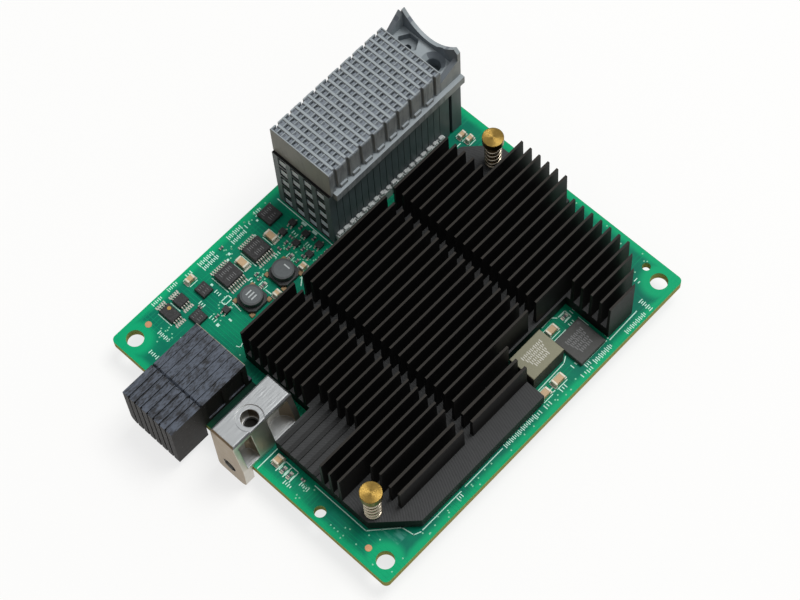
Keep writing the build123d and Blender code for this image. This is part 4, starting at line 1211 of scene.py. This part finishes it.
class CARD_OT_guide_block(bpy.types.Operator):
    """Plated casting and its screw"""

    bl_idname = "card.guide_block"
    bl_label = "Guide block"

    def execute(self, context):
        dress(["guide_block"], self.plated(context.scene.card_connector))
        steel = Finish("screw_steel", metallic=1.0)
        bright = steel.mix(steel.noise(1.0), context.scene.card_sink.steel, SCREW_DULL)
        steel.feed(
            # Painted shade on the part of the screw inside the block
            base_color=steel.mix(steel.above(-BOARD_SIZE[2]) > 0.0, bright, SCREW_SHADE),
            roughness=steel.wander(0.3, 0.1, 0.7),
        )
        dress(["guide_block_screw"], steel.material)
        return {"FINISHED"}

    def plated(self, look):
        """Brushed plating; painted shade greys the top and darkens the threaded bore, and a painted warm
        reflection tans the front.
        """
        nickel = Finish("plated_casting", metallic=1.0)
        brushed = nickel.noise(0.35, 4.0, (1.0, 0.12, 1.0))
        bore = nickel.away(GUIDE_BORE) < GUIDE_BORE_RADIUS
        bore = bore * (nickel.above(GUIDE_BORE_MOUTH) < 0.0)
        thread = nickel.z.wave(THREAD_PITCH) * bore
        tone = nickel.mix(nickel.noise(2.5, 4.0), look.nickel, NICKEL_DULL)
        # Painted shade: the top faces are greyer
        tone = nickel.mix((nickel.face_z > 0.5) * 0.85, tone, NICKEL_TOP_SHADE)
        # Painted warm reflection on the front faces
        tone = nickel.mix((nickel.face_y < -0.5) * 0.85, tone, NICKEL_FRONT_REFLECTION)
        height = brushed + nickel.noise(1.5) * 0.8 + thread * 3
        return nickel.feed(
            # Painted shade darkens the threaded bore, a little less on the thread
            base_color=nickel.mix(bore * (0.9 - thread * 0.08), tone, BORE_SHADE),
            roughness=nickel.wander(0.34, 0.16, 1.2),
            normal=nickel.bump(height, 0.03, nickel.rounded(0.25)),
        )


class CARD_OT_chips(bpy.types.Operator):
    """Moulded chips and their bent leads"""

    bl_idname = "card.chips"
    bl_label = "Chips"

    def execute(self, context):
        look = context.scene.card_part
        epoxy = self.epoxy(look)
        dress(numbered("flat_chip") + ["transistors", "controller_chip"], epoxy)
        dress(["memory_chip"], self.memory())
        self.lead_chips(look, epoxy)
        self.marks()
        ochre = two_tone("ochre_dot", OCHRE, OCHRE_DARK, 0.3, roughness=0.5)
        dot = turned(on_card((DOT_PLACE,), LEAD_CHIPS[-1, 4]), DOT_RADII, (0, MARK_HEIGHT), 24)
        add_piece("polarity_dot", dot, ochre)
        return {"FINISHED"}

    def epoxy(self, look):
        """Dark moulding with a fine pale grain."""
        epoxy = Finish("chip_epoxy", specular_ior_level=0.4)
        grain = epoxy.noise(0.3, 4.0)
        return epoxy.feed(
            base_color=epoxy.mix(grain.rise(0.4, 0.75), look.epoxy, EPOXY_PALE),
            roughness=epoxy.wander(0.5, 0.15, 0.4),
            normal=epoxy.bump(grain, 0.015, epoxy.rounded(0.1)),
        )

    def memory(self):
        """Greyer moulding with a round dimple near one corner."""
        memory = Finish("memory_epoxy", specular_ior_level=0.4)
        dimple = 1 - memory.away(middle_of("memory_chip") + DIMPLE_SHIFT).rise(0.35, 0.45)
        tone = memory.mix(memory.noise(0.4, 4.0), MEMORY_DARK, MEMORY_PALE)
        return memory.feed(
            base_color=memory.mix(dimple * 0.5, tone, DIMPLE_PALE),
            roughness=memory.wander(0.5, 0.15, 0.5),
            normal=memory.bump(memory.noise(0.25) - dimple, 0.03, memory.rounded(0.12)),
        )

    def marks(self):
        """Rows of plain bars on the tops of the larger chips and the block inductor."""
        tops = list(LEAD_CHIPS[:POWER_CHIP_COUNT])
        tops += [chip_body(name, 0.0) for name in (*numbered("flat_chip"), "memory_chip", "block_inductor")]
        shapes = [self.mark_rows(*top) for top in tops]
        grey = two_tone("grey_ink", CHIP_INK, CHIP_INK_DARK, 0.3, 4.0, roughness=0.6)
        add_piece("chip_marks", joined(*shapes[:-1]), grey)
        pale = two_tone("pale_ink", BLOCK_INK, BLOCK_INK_DARK, 0.3, 4.0, roughness=0.6)
        add_piece("block_marks", shapes[-1], pale)

    def mark_rows(self, x, y, wide, deep, top):
        """Bars in evenly spaced rows over the middle of one top face, each row a little shorter."""
        count = max(2, int(wide / MARK_ROW_SPACING))
        extent = wide * MARK_EXTENT
        places = grid(x + np.linspace(-0.5, 0.5, count) * extent, (y,))
        lengths = np.linspace(*MARK_LENGTHS, count) * deep
        rows = np.concatenate((beside(places, extent / count), lengths[:, None]), axis=1)
        return strokes(bars(rows), wide * MARK_STROKE, top, MARK_HEIGHT)

    def lead_chips(self, look, epoxy):
        """Bodies with bevelled tops, and all bent leads."""
        sizes = LEAD_CHIPS[:, 2:] - (0.0, 0.0, CHIP_BASE)
        shape = soft_boxes(on_card(LEAD_CHIPS[:, :2], CHIP_BASE), sizes, CHIP_BEVEL)
        bodies = add_piece("lead_chip_bodies", shape, epoxy)
        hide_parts(*numbered("power_chip"), *numbered("lead_chip"))
        leads = np.concatenate((*self.chip_leads(look), *self.transistor_leads()))
        shape = bent_leads(leads[:, :2], leads[:, 2:4], leads[:, 4], leads[:, 5], leads[:, 6])
        add_piece("bent_leads", shape, tinned(look))

    def chip_leads(self, look):
        """Rows of leads on both sides of each chip: root, way out, shoulder, reach and width."""
        for row, (x, y, wide, _, height) in enumerate(LEAD_CHIPS):
            if row < POWER_CHIP_COUNT:
                count, pitch, reach = POWER_LEADS, look.lead_pitch / MM, POWER_LEAD_LENGTH
            else:
                count, pitch, reach = SMALL_LEADS, SMALL_LEAD_PITCH, SMALL_LEAD_LENGTH
            for sign in (-1, 1):
                roots = grid((x + sign * wide / 2,), y + spread(count, pitch))
                yield beside(roots, sign, 0, height * LEAD_SHOULDER, reach, look.lead_width / MM)

    def transistor_leads(self):
        """Two leads in front of each transistor and one behind it, given as the chips' leads are."""
        lead = (TRANSISTOR_SHOULDER, TRANSISTOR_LEAD_LENGTH, TRANSISTOR_LEAD_WIDTH)
        for shift, sign in ((-TRANSISTOR_LEAD_SHIFT, -1), (TRANSISTOR_LEAD_SHIFT, -1), (0, 1)):
            yield beside(TRANSISTORS + (shift, sign * TRANSISTOR_LENGTH / 2), 0, sign, *lead)


class CARD_OT_passives(bpy.types.Operator):
    """Inductors, capacitors and resistors"""

    bl_idname = "card.passives"
    bl_label = "Inductors and capacitors"

    def execute(self, context):
        look = context.scene.card_part
        self.round_inductors(look)
        dress(["block_inductor"], self.block_ferrite(look))
        tin = tinned(look)
        dress(["block_inductor_terminals"], tin)
        ceramic = two_tone("capacitor_ceramic", look.ceramic, CERAMIC_DARK, 0.5, roughness=0.45)
        film = two_tone("resistor_film", look.resistor, FILM_DARK, 0.4, roughness=0.4)
        cream = two_tone("capacitor_end", CREAM, CREAM_DARK, 0.4, metallic=0.15, roughness=0.4)
        self.two_ended("capacitor", CAPACITORS, CAPACITOR_HEIGHT, CAPACITOR_END, ceramic, cream)
        self.two_ended("resistor", RESISTORS, RESISTOR_HEIGHT, RESISTOR_END, film, tin)
        self.two_ended("small_part", SMALL_PARTS, RESISTOR_HEIGHT, RESISTOR_END, film, tin)
        return {"FINISHED"}

    def two_ended(self, name, parts, height, end, body, metal):
        """Bodies drawn in a little from their metal ends, which sit at both ends of the longer side."""
        middle, size, longer = sides(parts)
        sizes = beside(size - BODY_INSET, height - BODY_DROP)
        shape = soft_boxes(on_card(middle, BODY_BASE), sizes, BODY_BEVEL)
        bodies = add_piece(f"{name}_bodies", shape, body)
        shift = longer * (size - end) / 2
        sizes = beside(np.where(longer, end, size + 2 * END_LIP), height + END_LIP)
        shape = joined(*(soft_boxes(on_card(middle + sign * shift), sizes, END_BEVEL) for sign in (-1, 1)))
        ends = add_piece(f"{name}_ends", shape, metal)
        if f"{name}s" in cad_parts:
            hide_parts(f"{name}s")
            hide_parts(f"{name}s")

    def round_inductors(self, look):
        """Round drums on cut-cornered bases, with a terminal at each corner and marks on top."""
        dress(numbered("round_inductor"), self.round_ferrite(look))
        chalk = two_tone("drum_marks", CHALK, CHALK_DARK, 0.3, roughness=0.6)
        shape = strokes(DRUM_MARKS, DRUM_MARK_WIDTH, INDUCTOR_SIZE[2], MARK_HEIGHT)
        add_piece("drum_marks", shape, chalk)
        gilt = two_tone("inductor_terminal", look.terminal, TERMINAL_DARK, 0.4, metallic=0.5, roughness=0.4)
        out = INDUCTOR_SIZE[0] / 2 - TERMINAL_INSET
        places = (INDUCTORS[:, None] + grid((-out, out), (-out, out))).reshape(-1, 2)
        shape = like_boxes(places, 0.0, TERMINAL_SIZE, TERMINAL_BEVEL)
        add_piece("inductor_terminals", shape, gilt)

    def round_ferrite(self, look):
        """Dark ferrite, paler on the drums' tops, which are dished inside a rim."""
        ferrite = Finish("round_ferrite", specular_ior_level=0.4)
        drum = ferrite.away(*INDUCTORS)
        up = (ferrite.face_z > 0.5) * (drum < DRUM_RADIUS)
        dish = up * (1 - drum.rise(DISH_INNER, DISH_OUTER))
        tone = ferrite.mix(ferrite.noise(0.5, 4.0), DRUM_DARK, DRUM_PALE)
        face = ferrite.mix(ferrite.noise(0.6, 4.0), look.ferrite, FERRITE_PALE)
        return ferrite.feed(
            base_color=ferrite.mix(up * 0.5 + dish * 0.5, tone, face),
            roughness=ferrite.wander(0.42, 0.15, 0.6),
            normal=ferrite.bump(ferrite.noise(0.3) * 0.3 + dish, 0.06, ferrite.rounded(0.3)),
        )

    def block_ferrite(self, look):
        """Pressed powder: a taupe grain on top, and sides darkened by painted shade."""
        taupe = Finish("block_ferrite", specular_ior_level=0.35)
        grain = taupe.noise(0.25, 4.0)
        top = taupe.mix(grain, look.taupe, TAUPE_DARK)
        return taupe.feed(
            # Painted shade on the sides
            base_color=taupe.mix(taupe.face_z > 0.5, TAUPE_SIDE_SHADE, top),
            roughness=0.55 + grain * 0.15,
            normal=taupe.bump(grain, 0.03, taupe.rounded(0.15)),
        )


class CARD_OT_stage(bpy.types.Operator):
    """Pale floor, soft lamps and the camera"""

    bl_idname = "card.stage"
    bl_label = "Stage"

    def execute(self, context):
        look = context.scene.card_stage
        self.floor(look)
        self.key_lamp(look)
        self.room(look)
        self.camera(look)
        context.scene.view_settings.view_transform = "Standard"
        return {"FINISHED"}

    def floor(self, look):
        """Level square at the lowest point of the card: white when seen, warm in the light it throws."""
        low, reach = cad_box[0][2], look.floor_reach
        mesh = bpy.data.meshes.new("floor")
        mesh.from_pydata(
            [(-reach, -reach, low), (reach, -reach, low), (reach, reach, low), (-reach, reach, low)],
            [], [(0, 1, 2, 3)],
        )
        pale = Finish("pale_floor", roughness=0.9, specular_ior_level=0.1)
        seen = pale.node("ShaderNodeLightPath", output="Is Camera Ray")
        for kind in ("Is Glossy Ray", "Is Transmission Ray"):
            seen = seen.largest(pale.node("ShaderNodeLightPath", output=kind))
        pale.feed(base_color=pale.mix(seen, look.bounce, look.floor))
        glow = pale.node("ShaderNodeEmission", None, {"Color": linear(WHITE), "Strength": 1.0})
        surface = pale.node("ShaderNodeMixShader", None, {
            0: seen * look.floor_glow, 1: Field(pale, pale.shader.outputs[0]), 2: glow,
        })
        pale.tree.links.new(surface.socket, pale.tree.nodes["Material Output"].inputs["Surface"])
        mesh.materials.append(pale.material)
        floor = bpy.data.objects.new("floor", mesh)
        bpy.context.scene.collection.objects.link(floor)

    def key_lamp(self, look):
        """Square lamp high behind the card, turned to its middle."""
        lamp = bpy.data.lights.new("key", "AREA")
        lamp.energy = look.key_strength
        lamp.color = KEY_TONE
        lamp.shape = "SQUARE"
        lamp.size = look.key_size
        holder = bpy.data.objects.new("key", lamp)
        middle = Vector(np.mean(cad_box, axis=0))
        holder.location = look.key_place
        holder.rotation_euler = (holder.location - middle).to_track_quat("Z", "Y").to_euler()
        bpy.context.scene.collection.objects.link(holder)

    def room(self, look):
        """Light from all round: white overhead, grey low down, dark on the right and warm in front."""
        world = bpy.data.worlds.new("soft_room")
        world.use_nodes = True
        room = Nodes(world.node_tree)
        x, y, z = room.split(room.node("ShaderNodeTexCoord", output="Generated"))
        wall = room.mix(x.rise(0.0, 0.7), WALL_GREY, WALL_DARK)
        wall = room.mix((0 - y).rise(0.2, 0.8), wall, WALL_WARM)
        tone = room.mix(z.rise(0.05, 0.75), wall, WHITE)
        background = room.tree.nodes["Background"]
        room.tree.links.new(tone.socket, background.inputs["Color"])
        background.inputs["Strength"].default_value = look.fill_strength
        bpy.context.scene.world = world

    def camera(self, look):
        """Right, up and back axes from azimuth, elevation and roll."""
        turn, lift, roll = look.azimuth, look.elevation, look.roll
        ahead = np.array((-math.sin(turn) * math.cos(lift), math.cos(turn) * math.cos(lift),
                          -math.sin(lift)))
        level = np.array((math.cos(turn), math.sin(turn), 0.0))
        upright = np.cross(level, ahead)
        right = level * math.cos(roll) + upright * math.sin(roll)
        up = upright * math.cos(roll) - level * math.sin(roll)
        lens = bpy.data.cameras.new("camera")
        lens.sensor_fit = "HORIZONTAL"
        lens.sensor_width = SENSOR_WIDTH
        lens.lens = look.lens
        lens.clip_start = NEAREST_SEEN
        camera = bpy.data.objects.new("camera", lens)
        axes = np.eye(4)
        axes[:3, :3] = np.stack((right, up, -ahead), axis=1)
        axes[:3, 3] = look.camera_place
        camera.matrix_world = Matrix(axes.tolist())
        bpy.context.scene.collection.objects.link(camera)
        bpy.context.scene.camera = camera


class CARD_PT_dresser(bpy.types.Panel):
    """Lists the steps in order"""

    bl_idname = "CARD_PT_dresser"
    bl_label = "Expansion card"
    bl_space_type = "VIEW_3D"
    bl_region_type = "UI"
    bl_category = "Card"

    def draw(self, context):
        for step in STEPS:
            self.layout.operator(step.bl_idname)


SETTINGS = {
    "card_board": BoardSettings,
    "card_sink": SinkSettings,
    "card_connector": ConnectorSettings,
    "card_part": PartSettings,
    "card_stage": StageSettings,
}
STEPS = (
    CARD_OT_board,
    CARD_OT_print,
    CARD_OT_pads,
    CARD_OT_heat_sink,
    CARD_OT_spring_pins,
    CARD_OT_tall_connector,
    CARD_OT_edge_connector,
    CARD_OT_guide_block,
    CARD_OT_chips,
    CARD_OT_passives,
    CARD_OT_stage,
)


def register():
    """Adds the settings, the operators and the panel."""
    for name, settings in SETTINGS.items():
        bpy.utils.register_class(settings)
        setattr(bpy.types.Scene, name, PointerProperty(type=settings))
    for step in STEPS:
        bpy.utils.register_class(step)
    bpy.utils.register_class(CARD_PT_dresser)


def unregister():
    """Takes away what register added."""
    bpy.utils.unregister_class(CARD_PT_dresser)
    for step in reversed(STEPS):
        bpy.utils.unregister_class(step)
    for name, settings in SETTINGS.items():
        delattr(bpy.types.Scene, name)
        bpy.utils.unregister_class(settings)


def main():
    """Runs every step in order."""
    register()
    bpy.ops.card.board()
    bpy.ops.card.print()
    bpy.ops.card.pads()
    bpy.ops.card.heat_sink()
    bpy.ops.card.spring_pins()
    bpy.ops.card.tall_connector()
    bpy.ops.card.edge_connector()
    bpy.ops.card.guide_block()
    bpy.ops.card.chips()
    bpy.ops.card.passives()
    bpy.ops.card.stage()


if __name__ == "__main__":
    main()
